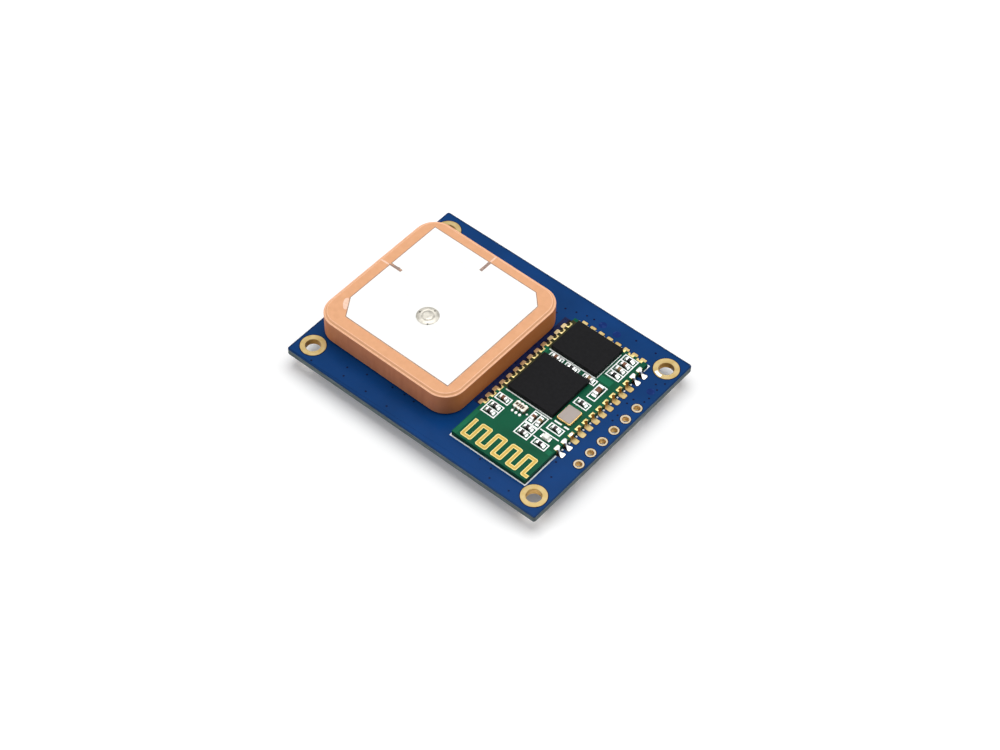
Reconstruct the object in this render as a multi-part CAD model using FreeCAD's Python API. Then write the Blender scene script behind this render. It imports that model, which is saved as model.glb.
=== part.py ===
import FreeCAD, Part
import math
import os

from FreeCAD import Rotation, Vector

# Satellite positioning board with a patch antenna and a soldered radio board, in millimetres.
# +X runs along the long side, from the antenna to the header holes.
# +Y runs along the short side, away from the radio board's trace antenna.
# +Z points out of the antenna's face.
# The origin is the middle of the main board's outline, level with the receiver's shield can,
# on which the whole part rests.

# Copper, plating and ink, common to all boards
copper = 0.035
barrel_wall = 0.05
ink = 0.02

# Numbers of flats on the small round shapes that occur many times
drill_flat_count = 12
ring_flat_count = 16
dome_flat_count = 24
half_hole_flat_count = 8

# Patch antenna
antenna_size = 25.0
antenna_height = 3.9
antenna_corner_radius = 3.3
antenna_foot_chamfer = 0.15
antenna_rim_land = 0.2
antenna_rim_slope_width = 0.3
antenna_rim_drop = 0.3
antenna_edge_gap = 0.9
antenna_shift_y = 0.05
antenna_turn_deg = -0.5
silver_thickness = 0.03
electrode_size = 21.0
electrode_shift_y = 0.25
electrode_near_trim_x = 1.95
electrode_near_trim_y = 3.05
electrode_far_trim = 1.9
tuning_slit_length = 2.0
tuning_slit_width = 0.25
side_slit_shift = 0.95
tape_thickness = 0.2
tape_inset = 0.5
tape_corner_cut = 2.2
ground_inset = 0.3

# Feed pin, from the electrode through the ceramic and the main board
feed_offset = 2.6
feed_shank_diameter = 0.8
feed_head_diameter = 1.7
feed_head_height = 0.25
feed_clearance = 0.1
feed_isolation_diameter = 3.0
feed_pad_diameter = 1.9
feed_tail = 0.9
feed_dome_diameter = 3.3
feed_dome_height = 0.3
feed_cone_height = 0.7

# Main board
board_thickness = 1.0
antenna_to_radio_gap = 1.6
header_zone_width = 4.53
corner_zone_width = 4.75
corner_hole_inset_x = 2.4
corner_hole_inset_y = 2.8
corner_hole_diameter = 2.2
corner_ring_diameter = 3.9
header_count = 6
header_pitch = 2.54
header_edge_distance = 1.17
header_shift_y = -0.1
header_hole_diameter = 0.95
header_ring_diameter = 1.5

# Radio board and its plated half holes
radio_thickness = 0.8
radio_shift_y = -0.48
trace_zone_length = 5.17
parts_zone_length = 5.4
radio_chip_size = 8.0
chip_gap = 1.45
memory_chip_width = 6.1
radio_end_margin = 0.5
chip_left_margin = 1.05
parts_column_width = 3.92
chip_height = 0.75
half_hole_diameter = 0.54
half_hole_pitch = 1.5
half_hole_end_distance = 1.57
half_holes_across = 8
half_hole_pad_width = 0.98
half_hole_pad_depth = 0.45
land_width = 0.9
land_reach = 1.02
land_cover = 0.6
joint_cap_height = 0.1
joint_foot_length = 0.85
joint_foot_height = 0.65

# Radio board's trace antenna
trace_width = 0.57
trace_pitch = 1.325
trace_bars = 9
trace_height = 2.85
trace_inset_x = 1.38
trace_inset_y = 0.64
trace_tail = 0.95
trace_bend_cut = 0.2

# Small parts: capacitors and resistors in two sizes
small_length = 1.0
small_width = 0.5
small_end = 0.22
small_capacitor_height = 0.5
small_resistor_height = 0.35
big_length = 1.6
big_width = 0.7
big_end = 0.3
big_capacitor_height = 0.5
big_capacitor_shift = 0.3
big_resistor_height = 0.45
group_pitch = 1.13
frame_end_gap = 0.7
frame_side_gap = 0.4
frame_tight_gap = 0.3
frame_line = 0.18
outline_line = 0.2
outline_gap = 0.12
print_gap = 0.15

# Crystal, band filter and lamp
crystal_length = 2.9
crystal_width = 2.4
crystal_base_height = 0.12
crystal_seal_height = 0.23
crystal_lid_height = 0.08
crystal_shift_y = 0.35
crystal_corner_cut = 0.25
crystal_step = 0.06
filter_length = 2.0
filter_width = 1.1
filter_height = 0.6
filter_terminals = 3
filter_terminal_pitch = 0.65
filter_terminal_width = 0.3
filter_terminal_wall = 0.05
filter_solder_reach = 0.65
filter_solder_height = 0.25
lamp_length = 1.6
lamp_width = 0.8
lamp_base_height = 0.2
lamp_lens_height = 0.35
lamp_lens_length = 0.95
lamp_end = 0.22
lamp_tick = 0.4

# Receiver with its shield can, below the main board
receiver_length = 16.0
receiver_width = 12.2
receiver_thickness = 0.8
receiver_feed_gap = 1.3
shield_height = 1.6
shield_wall = 0.2
shield_inset = 0.35
shield_corner_cut = 0.5
receiver_pad_pitch = 1.1
receiver_pads_per_group = 6
receiver_pad_group_gap = 3.0
receiver_pad_width = 0.7
receiver_land_cover = 0.9
receiver_land_reach = 0.6
receiver_solder_height = 0.5
receiver_chip_size = 5.0
receiver_chip_height = 0.85
receiver_crystal_length = 2.5
receiver_crystal_width = 2.0
receiver_crystal_height = 0.8
receiver_filter_length = 1.4
receiver_filter_width = 1.1
receiver_filter_height = 0.5
receiver_part_gap = 1.2

# Regulator and its parts, below the main board
regulator_length = 2.9
regulator_width = 1.6
regulator_height = 1.0
regulator_standoff = 0.1
regulator_lead_pitch = 0.95
regulator_lead_width = 0.4
regulator_lead_thickness = 0.15
regulator_lead_foot = 0.4
regulator_span = 2.8
regulator_gap = 2.2
supply_row_gap = 0.9

# Overall layout, worked out from the sizes above
radio_width = chip_left_margin + radio_chip_size + parts_column_width
radio_length = (trace_zone_length + parts_zone_length + radio_chip_size + chip_gap
                + memory_chip_width + radio_end_margin)
board_length = antenna_edge_gap + antenna_size + antenna_to_radio_gap + radio_width + header_zone_width
board_width = antenna_size + 2 * corner_zone_width
underside_z = shield_height + receiver_thickness + copper
top_z = underside_z + board_thickness
radio_underside_z = top_z + 2 * copper
radio_top_z = radio_underside_z + radio_thickness
antenna_x = -board_length / 2 + antenna_edge_gap + antenna_size / 2
antenna_y = antenna_shift_y
tape_top_z = top_z + tape_thickness
ceramic_foot_z = tape_top_z + silver_thickness
ceramic_top_z = ceramic_foot_z + antenna_height
electrode_top_z = ceramic_top_z + silver_thickness
feed_x = antenna_x
feed_y = antenna_y - feed_offset
feed_hole_diameter = feed_shank_diameter + 2 * feed_clearance
radio_right = board_length / 2 - header_zone_width
radio_left = radio_right - radio_width
radio_near = radio_shift_y - radio_length / 2
radio_far = radio_near + radio_length
radio_middle_x = (radio_left + radio_right) / 2
parts_near = radio_near + trace_zone_length
chips_left = radio_left + chip_left_margin
chips_right = chips_left + radio_chip_size
chips_x = (chips_left + chips_right) / 2
radio_chip_near = parts_near + parts_zone_length
radio_chip_far = radio_chip_near + radio_chip_size
memory_chip_near = radio_chip_far + chip_gap
memory_chip_far = memory_chip_near + memory_chip_width
receiver_x = feed_x + receiver_feed_gap + receiver_length / 2
receiver_under_z = shield_height
receiver_top_z = receiver_under_z + receiver_thickness
regulator_x = receiver_x + receiver_length / 2 + regulator_gap + regulator_span / 2


def block(center_x, center_y, low_z, size_x, size_y, size_z):
    """An upright box, placed by the middle of its footprint."""
    corner = Vector(center_x - size_x / 2, center_y - size_y / 2, low_z)
    return Part.makeBox(size_x, size_y, size_z, corner)


def disc(center_x, center_y, low_z, diameter, height):
    return Part.makeCylinder(diameter / 2, height, Vector(center_x, center_y, low_z))


def plate(outline, low_z, height):
    """A flat plate from its (x, y) corner points."""
    points = [Vector(x, y, low_z) for x, y in outline]
    return Part.Face(Part.makePolygon(points + points[:1])).extrude(Vector(0, 0, height))


def regular_outline(center_x, center_y, across_flats, flats):
    reach = across_flats / 2 / math.cos(math.pi / flats)
    angles = [2 * math.pi * i / flats for i in range(flats)]
    return [(center_x + reach * math.cos(a), center_y + reach * math.sin(a)) for a in angles]


def prism(center_x, center_y, low_z, across_flats, height, flats):
    """An upright prism with a regular outline, for small round shapes."""
    return plate(regular_outline(center_x, center_y, across_flats, flats), low_z, height)


def faceted(profile, center_x, center_y, flats):
    """A ring of flats round an upright axis, from (radius, z) points."""
    rings = []
    for radius, z in profile:
        outline = regular_outline(center_x, center_y, 2 * radius, flats)
        rings.append([Vector(x, y, z) for x, y in outline])
    faces = []
    for lower, (low_radius, _), upper, (high_radius, _) in zip(
            rings, profile, rings[1:] + rings[:1], profile[1:] + profile[:1]):
        if low_radius == 0 and high_radius == 0:
            continue
        for i in range(flats):
            corners = [lower[i - 1]]
            if low_radius > 0:
                corners.append(lower[i])
            corners.append(upper[i])
            if high_radius > 0:
                corners.append(upper[i - 1])
            faces.append(Part.Face(Part.makePolygon(corners + corners[:1])))
    solid = Part.Solid(Part.Shell(faces))
    if solid.Volume < 0:
        solid.reverse()
    return solid


def clipped_plate(center_x, center_y, low_z, size_x, size_y, height, cut):
    """A plate with its four corners cut off at 45 degrees."""
    half_x = size_x / 2
    half_y = size_y / 2
    corners = [
        (half_x, cut - half_y), (half_x, half_y - cut),
        (half_x - cut, half_y), (cut - half_x, half_y),
        (-half_x, half_y - cut), (-half_x, cut - half_y),
        (cut - half_x, -half_y), (half_x - cut, -half_y),
    ]
    return plate([(center_x + x, center_y + y) for x, y in corners], low_z, height)


def rounded_outline(size_x, size_y, radius, z):
    """A closed wire with four straight sides and four corner arcs, centred on the z axis."""
    half_x = size_x / 2
    half_y = size_y / 2
    diagonal = radius * (1 - math.sqrt(0.5))
    edges = []
    for quarter in range(4):
        turn = Rotation(Vector(0, 0, 1), 90 * quarter)
        long_side, short_side = (half_x, half_y) if quarter % 2 == 0 else (half_y, half_x)
        side_start = Vector(long_side, -short_side + radius, z)
        side_end = Vector(long_side, short_side - radius, z)
        arc_middle = Vector(long_side - diagonal, short_side - diagonal, z)
        arc_end = Vector(long_side - radius, short_side, z)
        edges.append(Part.LineSegment(turn.multVec(side_start), turn.multVec(side_end)).toShape())
        arc = Part.Arc(turn.multVec(side_end), turn.multVec(arc_middle), turn.multVec(arc_end))
        edges.append(arc.toShape())
    return Part.Wire(edges)


def rounded_plate(size_x, size_y, radius, low_z, height):
    outline = rounded_outline(size_x, size_y, radius, low_z)
    return Part.Face(outline).extrude(Vector(0, 0, height))


def moved(shape, x, y, z=0.0):
    shape.translate(Vector(x, y, z))
    return shape


def fused(shapes):
    return shapes[0].multiFuse(shapes[1:]).removeSplitter()


def save(node, shapes):
    """Write one node, as one solid or as a group of separate solids."""
    shape = shapes[0] if len(shapes) == 1 else Part.makeCompound(shapes)
    shape.exportStep(os.path.join("parts", node + ".step"))


# Main board and its plated holes

def plated_hole(x, y, hole_diameter, ring_diameter):
    """Copper barrel through the main board, with a flat ring on each face."""
    low_z = underside_z - copper
    height = board_thickness + 2 * copper
    barrel = prism(x, y, low_z, hole_diameter + 2 * barrel_wall, height, drill_flat_count)
    lower_ring = prism(x, y, low_z, ring_diameter, copper, ring_flat_count)
    upper_ring = prism(x, y, top_z, ring_diameter, copper, ring_flat_count)
    return fused([barrel, lower_ring, upper_ring]).cut(disc(x, y, low_z, hole_diameter, height))


def corner_hole_places():
    reach_x = board_length / 2 - corner_hole_inset_x
    reach_y = board_width / 2 - corner_hole_inset_y
    return [(side_x * reach_x, side_y * reach_y) for side_x in (-1, 1) for side_y in (-1, 1)]


def header_hole_places():
    x = board_length / 2 - header_edge_distance
    first = header_shift_y - header_pitch * (header_count - 1) / 2
    return [(x, first + header_pitch * i) for i in range(header_count)]


def make_main_board():
    board = block(0, 0, underside_z, board_length, board_width, board_thickness)
    holes = [(feed_x, feed_y, feed_hole_diameter)]
    holes += [(x, y, corner_hole_diameter) for x, y in corner_hole_places()]
    holes += [(x, y, header_hole_diameter) for x, y in header_hole_places()]
    drills = [prism(x, y, underside_z, diameter + 2 * barrel_wall, board_thickness, drill_flat_count)
              for x, y, diameter in holes]
    save("main_board", [board.cut(Part.makeCompound(drills))])
    save("corner_hole_platings", [plated_hole(x, y, corner_hole_diameter, corner_ring_diameter)
                                  for x, y in corner_hole_places()])
    save("header_hole_platings", [plated_hole(x, y, header_hole_diameter, header_ring_diameter)
                                  for x, y in header_hole_places()])


# Patch antenna and its feed

def on_antenna(shape):
    """Turn a centred shape by the antenna's slight misalignment and put it in place."""
    shape.rotate(Vector(0, 0, 0), Vector(0, 0, 1), antenna_turn_deg)
    return moved(shape, antenna_x, antenna_y)


def make_ceramic():
    """Ceramic block with a chamfered foot and a rim that steps down by a short slope."""
    land_z = ceramic_top_z - antenna_rim_drop
    wall_height = land_z - ceramic_foot_z
    body = rounded_plate(antenna_size, antenna_size, antenna_corner_radius, ceramic_foot_z, wall_height)
    foot = [edge for edge in body.Edges if edge.BoundBox.ZMax < ceramic_foot_z + ink]
    body = body.makeChamfer(antenna_foot_chamfer, foot)
    slope_foot = antenna_size - 2 * antenna_rim_land
    slope_head = slope_foot - 2 * antenna_rim_slope_width
    foot_wire = rounded_outline(slope_foot, slope_foot, antenna_corner_radius - antenna_rim_land, land_z)
    head_radius = antenna_corner_radius - antenna_rim_land - antenna_rim_slope_width
    head_wire = rounded_outline(slope_head, slope_head, head_radius, ceramic_top_z)
    crown = Part.makeLoft([foot_wire, head_wire], True, True)
    ceramic = on_antenna(fused([body, crown]))
    hole = prism(feed_x, feed_y, ceramic_foot_z, feed_hole_diameter, antenna_height, drill_flat_count)
    return ceramic.cut(hole)


def make_electrode():
    """Silver top face with two trimmed corners and two tuning slits."""
    half = electrode_size / 2
    outline = [
        (-half + electrode_near_trim_x, -half),
        (half, -half),
        (half, half - electrode_far_trim),
        (half - electrode_far_trim, half),
        (tuning_slit_width / 2, half),
        (tuning_slit_width / 2, half - tuning_slit_length),
        (-tuning_slit_width / 2, half - tuning_slit_length),
        (-tuning_slit_width / 2, half),
        (-half, half),
        (-half, side_slit_shift + tuning_slit_width / 2),
        (-half + tuning_slit_length, side_slit_shift + tuning_slit_width / 2),
        (-half + tuning_slit_length, side_slit_shift - tuning_slit_width / 2),
        (-half, side_slit_shift - tuning_slit_width / 2),
        (-half, -half + electrode_near_trim_y),
    ]
    sheet = moved(plate(outline, ceramic_top_z, silver_thickness), 0, electrode_shift_y)
    sheet = on_antenna(sheet)
    hole = prism(feed_x, feed_y, ceramic_top_z, feed_hole_diameter, silver_thickness, drill_flat_count)
    return sheet.cut(hole)


def make_antenna():
    tape_size = antenna_size - 2 * tape_inset
    tape = clipped_plate(0, 0, top_z, tape_size, tape_size, tape_thickness, tape_corner_cut)
    ground_size = antenna_size - 2 * ground_inset
    ground_radius = antenna_corner_radius - ground_inset
    ground = rounded_plate(ground_size, ground_size, ground_radius, tape_top_z, silver_thickness)
    isolation_height = tape_thickness + silver_thickness
    isolation = prism(feed_x, feed_y, top_z, feed_isolation_diameter, isolation_height, drill_flat_count)
    save("antenna_tape", [on_antenna(tape).cut(isolation)])
    save("antenna_ground", [on_antenna(ground).cut(isolation)])
    save("antenna_ceramic", [make_ceramic()])
    save("antenna_electrode", [make_electrode()])


def make_feed():
    shank = feed_shank_diameter / 2
    head = feed_head_diameter / 2
    pin = [
        (0, underside_z - feed_tail),
        (shank, underside_z - feed_tail),
        (shank, electrode_top_z),
        (head, electrode_top_z),
        (head, electrode_top_z + feed_head_height),
        (0, electrode_top_z + feed_head_height),
    ]
    dome = feed_dome_diameter / 2
    dome_top = [
        (head, electrode_top_z),
        (dome, electrode_top_z),
        (head + 0.7 * (dome - head), electrode_top_z + 0.6 * feed_dome_height),
        (head, electrode_top_z + feed_dome_height),
    ]
    pad = feed_pad_diameter / 2
    pad_face = underside_z - copper
    cone = [
        (shank, pad_face),
        (pad, pad_face),
        ((pad + shank) / 2, pad_face - 0.4 * feed_cone_height),
        (shank, pad_face - feed_cone_height),
    ]
    save("feed_pin", [faceted(pin, feed_x, feed_y, dome_flat_count)])
    save("feed_pin_top_solder", [faceted(dome_top, feed_x, feed_y, dome_flat_count)])
    save("feed_pin_tail_solder", [faceted(cone, feed_x, feed_y, dome_flat_count)])
    save("feed_hole_plating", [plated_hole(feed_x, feed_y, feed_hole_diameter, feed_pad_diameter)])


# Radio board with plated half holes along three sides

def half_hole_places(side):
    """Edge points of one row of half holes, with the direction that faces outwards."""
    if side == "end":
        first = radio_middle_x - half_hole_pitch * (half_holes_across - 1) / 2
        return [(first + half_hole_pitch * i, radio_far, 90) for i in range(half_holes_across)]
    last = radio_far - half_hole_end_distance
    count = int((last - parts_near - half_hole_pad_width) / half_hole_pitch) + 1
    x, facing = (radio_left, 180) if side == "left" else (radio_right, 0)
    return [(x, last - half_hole_pitch * i, facing) for i in range(count)]


def at_edge(shape, place):
    """Put a shape that was made at the origin, facing +X, on the radio board's edge."""
    x, y, facing = place
    shape.rotate(Vector(0, 0, 0), Vector(0, 0, 1), facing)
    return moved(shape, x, y)


def half_prism(across_flats, low_z, height):
    """The inboard half of a round shape that is centred on the edge."""
    outline = regular_outline(0, 0, across_flats, half_hole_flat_count)
    inboard = [(x, y) for x, y in outline if x < ink]
    return plate(inboard, low_z, height)


def half_hole_plating():
    """Half a copper barrel and the pad round its top, facing +X."""
    low_z = radio_underside_z - copper
    height = radio_thickness + 2 * copper
    barrel = half_prism(half_hole_diameter + 2 * barrel_wall, low_z, height)
    pad = block(-half_hole_pad_depth / 2, 0, radio_top_z, half_hole_pad_depth, half_hole_pad_width, copper)
    return fused([barrel, pad]).cut(half_prism(half_hole_diameter, low_z, height))


def land_block():
    """Copper land on the main board, under and in front of a half hole."""
    return block((land_reach - land_cover) / 2, 0, top_z, land_reach + land_cover, land_width, copper)


def make_radio_board():
    middle_y = (radio_near + radio_far) / 2
    board = block(radio_middle_x, middle_y, radio_underside_z, radio_width, radio_length, radio_thickness)
    drill = half_prism(half_hole_diameter + 2 * barrel_wall, radio_underside_z, radio_thickness)
    sides = ("left", "end", "right")
    drills = [at_edge(drill.copy(), place) for side in sides for place in half_hole_places(side)]
    save("radio_board", [board.cut(Part.makeCompound(drills))])
    for side in sides:
        places = half_hole_places(side)
        save("radio_half_holes_" + side, [at_edge(half_hole_plating(), place) for place in places])
        save("radio_lands_" + side, [at_edge(land_block(), place) for place in places])


def solder_joint(with_foot):
    """Solder that laps the pad, fills the half hole and runs down to the land."""
    low_z = top_z + copper
    pad_top = radio_top_z + copper
    column = half_prism(half_hole_diameter, low_z, pad_top - low_z)
    cap_width = 0.8 * half_hole_pad_width
    cap = block(-half_hole_pad_depth / 2, 0, pad_top, half_hole_pad_depth, cap_width, joint_cap_height)
    pieces = [column, cap]
    if with_foot:
        side_y = -half_hole_diameter / 2
        foot = [
            Vector(0, side_y, low_z),
            Vector(joint_foot_length, side_y, low_z),
            Vector(0.45 * joint_foot_length, side_y, low_z + 0.3 * joint_foot_height),
            Vector(0, side_y, low_z + joint_foot_height),
        ]
        wedge = Part.Face(Part.makePolygon(foot + foot[:1])).extrude(Vector(0, half_hole_diameter, 0))
        pieces.append(wedge)
    return fused(pieces)


def make_solder_joints():
    """The joints that are soldered: two at each end of the +X row, and one dot."""
    row = half_hole_places("right")
    joints = [at_edge(solder_joint(True), place) for place in (row[0], row[1], row[-2], row[-1])]
    joints.append(at_edge(solder_joint(False), row[-3]))
    save("radio_solder_joints", joints)


def trace_path():
    """Middle line of the meander, from the free end of its first bar to the end of its tail."""
    low = radio_near + trace_inset_y
    high = low + trace_height
    left = radio_left + trace_inset_x
    path = [(left, high + trace_width / 2)]
    for bar in range(trace_bars):
        x = left + bar * trace_pitch
        level = low if bar % 2 == 0 else high
        path.append((x, level))
        if bar + 1 < trace_bars:
            path.append((x + trace_pitch, level))
    path.append((x + trace_tail, level))
    return path


def path_side(path, side, width, cut):
    """One edge of a stroke along a path of right-angled bends, its outer bends cut off."""
    steps = [(x1 - x0, y1 - y0) for (x0, y0), (x1, y1) in zip(path, path[1:])]
    steps = [(dx / math.hypot(dx, dy), dy / math.hypot(dx, dy)) for dx, dy in steps]
    reach = side * width / 2
    edge = [(path[0][0] - reach * steps[0][1], path[0][1] + reach * steps[0][0])]
    for (x, y), (in_x, in_y), (out_x, out_y) in zip(path[1:], steps, steps[1:]):
        corner_x = x - reach * (in_y + out_y)
        corner_y = y + reach * (in_x + out_x)
        if side * (in_x * out_y - in_y * out_x) < 0:
            edge.append((corner_x - cut * in_x, corner_y - cut * in_y))
            edge.append((corner_x + cut * out_x, corner_y + cut * out_y))
        else:
            edge.append((corner_x, corner_y))
    edge.append((path[-1][0] - reach * steps[-1][1], path[-1][1] + reach * steps[-1][0]))
    return edge


def make_trace_antenna():
    path = trace_path()
    left_edge = path_side(path, 1, trace_width, trace_bend_cut)
    right_edge = path_side(path, -1, trace_width, trace_bend_cut)
    save("trace_antenna", [plate(left_edge + right_edge[::-1], radio_top_z, copper)])


# Parts on the radio board

def chip_part(x, y, low_z, along, size, height):
    """Body and two metal ends of a capacitor or resistor that lies along X or Y."""
    length, width, end = size
    body_length = length - 2 * end
    offset = (length - end) / 2
    if along == "x":
        body = block(x, y, low_z, body_length, width, height)
        ends = [block(x + side * offset, y, low_z, end, width, height) for side in (-1, 1)]
    else:
        body = block(x, y, low_z, width, body_length, height)
        ends = [block(x, y + side * offset, low_z, width, end, height) for side in (-1, 1)]
    return body, ends


def save_parts(body_node, ends_node, parts):
    save(body_node, [body for body, ends in parts])
    save(ends_node, [end for body, ends in parts for end in ends])


small_size = (small_length, small_width, small_end)
big_size = (big_length, big_width, big_end)


def zone_y(share):
    """A place in the zone between the trace antenna and the radio chip."""
    return parts_near + share * parts_zone_length


def column_x(share):
    """A place across the column between the chips and the +X edge."""
    return chips_right + share * parts_column_width


def chip_x(share):
    """A place along the chips' common width."""
    return chips_left + share * radio_chip_size


def part_groups():
    """Groups in one printed frame: middle, direction, side gap and kinds in order."""
    gap_y = radio_chip_far + 0.4 * chip_gap
    return [
        (chip_x(0.09), zone_y(0.246), "x", frame_side_gap, "cc"),
        (chip_x(0.09), zone_y(0.681), "x", frame_side_gap, "c"),
        (chip_x(0.82), zone_y(0.252), "x", frame_side_gap, "cc"),
        (chip_x(0.82), zone_y(0.704), "y", frame_side_gap, "cc"),
        (column_x(0.395), zone_y(0.159), "x", frame_side_gap, "r"),
        (column_x(0.395), zone_y(0.774), "x", frame_side_gap, "c"),
        (column_x(0.382), radio_chip_near + 0.573 * radio_chip_size, "x", frame_side_gap, "c"),
        (column_x(0.433), memory_chip_near + 0.607 * memory_chip_width, "x", frame_side_gap, "rccr"),
        (chip_x(0.2), gap_y, "x", frame_tight_gap, "c"),
        (chip_x(0.55), gap_y, "x", frame_tight_gap, "r"),
        (chip_x(0.94), gap_y, "x", frame_tight_gap, "c"),
    ]


def group_places(x, y, along, kinds):
    """Place of each part of a group, side by side across the parts' length."""
    first = -group_pitch * (len(kinds) - 1) / 2
    offsets = [first + group_pitch * i for i in range(len(kinds))]
    return [(x, y + offset) if along == "x" else (x + offset, y) for offset in offsets]


def printed_frame(x, y, along, side_gap, count, size):
    """Printed frame round a group, with a line between neighbours."""
    length, width, _ = size
    long_side = length + 2 * frame_end_gap
    short_side = width + 2 * side_gap + group_pitch * (count - 1)
    if along == "x":
        frame = block(x, y, radio_top_z, long_side, short_side, ink)
    else:
        frame = block(x, y, radio_top_z, short_side, long_side, ink)
    window_long = long_side - 2 * frame_line
    edges = [-short_side / 2 + frame_line / 2]
    edges += [group_pitch * (i + 0.5 - (count - 1) / 2) for i in range(count - 1)]
    edges.append(short_side / 2 - frame_line / 2)
    for low, high in zip(edges, edges[1:]):
        middle = (low + high) / 2
        window_short = high - low - frame_line
        if along == "x":
            frame = frame.cut(block(x, y + middle, radio_top_z, window_long, window_short, ink))
        else:
            frame = frame.cut(block(x + middle, y, radio_top_z, window_short, window_long, ink))
    return frame


def big_capacitor_place():
    return column_x(0.46), radio_chip_near + 0.932 * radio_chip_size


def lamp_place():
    return column_x(0.387), zone_y(0.404)


def make_small_parts():
    capacitors = []
    resistors = []
    for x, y, along, _, kinds in part_groups():
        for kind, (part_x, part_y) in zip(kinds, group_places(x, y, along, kinds)):
            if kind == "c":
                capacitors.append(chip_part(part_x, part_y, radio_top_z, along, small_size,
                                            small_capacitor_height))
            else:
                resistors.append(chip_part(part_x, part_y, radio_top_z, along, small_size,
                                           small_resistor_height))
    save_parts("small_capacitors", "small_capacitor_ends", capacitors)
    save_parts("small_resistors", "small_resistor_ends", resistors)
    big_x, big_y = big_capacitor_place()
    big = chip_part(big_x, big_y + big_capacitor_shift, radio_top_z, "y", big_size, big_capacitor_height)
    save_parts("big_capacitor", "big_capacitor_ends", [big])


def make_radio_print():
    """White lines on the radio board: frames, lines beside the chips and beside the lamp."""
    lines = [printed_frame(x, y, along, side_gap, len(kinds), small_size)
             for x, y, along, side_gap, kinds in part_groups()]
    big_x, big_y = big_capacitor_place()
    lines.append(printed_frame(big_x, big_y, "y", frame_side_gap, 1, big_size))
    line_x = chips_x - print_gap / 2
    line_length = radio_chip_size + print_gap
    for chip_edge in (radio_chip_near, memory_chip_near):
        lines.append(block(line_x, chip_edge - print_gap, radio_top_z, line_length, frame_line, ink))
    side_y = memory_chip_near + 0.45 * memory_chip_width
    side_length = 0.9 * memory_chip_width
    lines.append(block(chips_right + print_gap, side_y, radio_top_z, frame_line, side_length, ink))
    lamp_x, lamp_y = lamp_place()
    line_reach = (lamp_width + frame_end_gap) / 2
    line_left = lamp_x - lamp_length
    for length, side in ((2 * lamp_length, 1), (lamp_tick, -1)):
        lines.append(block(line_left + length / 2, lamp_y + side * line_reach, radio_top_z, length,
                           frame_line, ink))
    save("radio_silkscreen", lines)


def make_board_print():
    """White outline on the main board round the trace antenna's end, clear of the corner rings."""
    first_land_y = min(y for _, y, _ in half_hole_places("right")) - land_width / 2
    far_y = first_land_y - print_gap
    near_y = radio_near - outline_gap
    middle_y = (near_y + far_y) / 2
    side_x = radio_width / 2 + outline_gap
    sides = [block(radio_middle_x + side * side_x, middle_y, top_z, outline_line, far_y - near_y, ink)
             for side in (-1, 1)]
    near = block(radio_middle_x, near_y, top_z, 2 * side_x + outline_line, outline_line, ink)
    outline = fused(sides + [near])
    for x, y in corner_hole_places():
        outline = outline.cut(prism(x, y, top_z, corner_ring_diameter + print_gap, ink, ring_flat_count))
    save("board_silkscreen", [outline])


def make_chips():
    radio_chip_y = (radio_chip_near + radio_chip_far) / 2
    memory_chip_y = (memory_chip_near + memory_chip_far) / 2
    save("radio_chip", [block(chips_x, radio_chip_y, radio_top_z, radio_chip_size, radio_chip_size,
                              chip_height)])
    save("memory_chip", [block(chips_x, memory_chip_y, radio_top_z, radio_chip_size, memory_chip_width,
                               chip_height)])


def make_crystal():
    """Metal crystal can beside the radio chip: dark base, sealing ring and lid."""
    x = column_x(0.387)
    y = radio_chip_near + crystal_shift_y + crystal_length / 2
    seal_z = radio_top_z + crystal_base_height
    lid_z = seal_z + crystal_seal_height
    base = clipped_plate(x, y, radio_top_z, crystal_width, crystal_length, crystal_base_height,
                         crystal_corner_cut)
    seal_size = (crystal_width - 2 * crystal_step, crystal_length - 2 * crystal_step)
    seal = clipped_plate(x, y, seal_z, *seal_size, crystal_seal_height, crystal_corner_cut)
    lid_size = (crystal_width - 4 * crystal_step, crystal_length - 4 * crystal_step)
    lid = clipped_plate(x, y, lid_z, *lid_size, crystal_lid_height, crystal_corner_cut)
    save("crystal_base", [base])
    save("crystal_seal", [seal])
    save("crystal_lid", [lid])


def make_band_filter():
    """Ceramic band filter with three terminals along each side, soldered on its near side."""
    x = chip_x(0.45)
    y = zone_y(0.717)
    save("band_filter", [block(x, y, radio_top_z, filter_length, filter_width, filter_height)])
    first = -filter_terminal_pitch * (filter_terminals - 1) / 2
    offsets = [first + filter_terminal_pitch * i for i in range(filter_terminals)]
    reach = (filter_width + filter_terminal_wall) / 2
    terminals = [block(x + offset, y + side * reach, radio_top_z, filter_terminal_width,
                       filter_terminal_wall, filter_height)
                 for side in (-1, 1) for offset in offsets]
    save("band_filter_terminals", terminals)
    face_y = y - filter_width / 2 - filter_terminal_wall
    profile = [(face_y, 0), (face_y, filter_solder_height), (face_y - filter_solder_reach, 0)]
    solder = []
    for offset in offsets:
        start_x = x + offset - filter_terminal_width / 2
        points = [Vector(start_x, py, radio_top_z + pz) for py, pz in profile]
        face = Part.Face(Part.makePolygon(points + points[:1]))
        solder.append(face.extrude(Vector(filter_terminal_width, 0, 0)))
    save("band_filter_solder", solder)


def make_lamp():
    x, y = lamp_place()
    base_length = lamp_length - 2 * lamp_end
    lens_z = radio_top_z + lamp_base_height
    base = block(x, y, radio_top_z, base_length, lamp_width, lamp_base_height)
    lens = block(x, y, lens_z, lamp_lens_length, lamp_width, lamp_lens_height)
    end_offset = (lamp_length - lamp_end) / 2
    ends = [block(x + side * end_offset, y, radio_top_z, lamp_end, lamp_width, lamp_base_height)
            for side in (-1, 1)]
    save("lamp_base", [base])
    save("lamp_lens", [lens])
    save("lamp_ends", ends)


# Receiver with its shield can, below the main board

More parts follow.
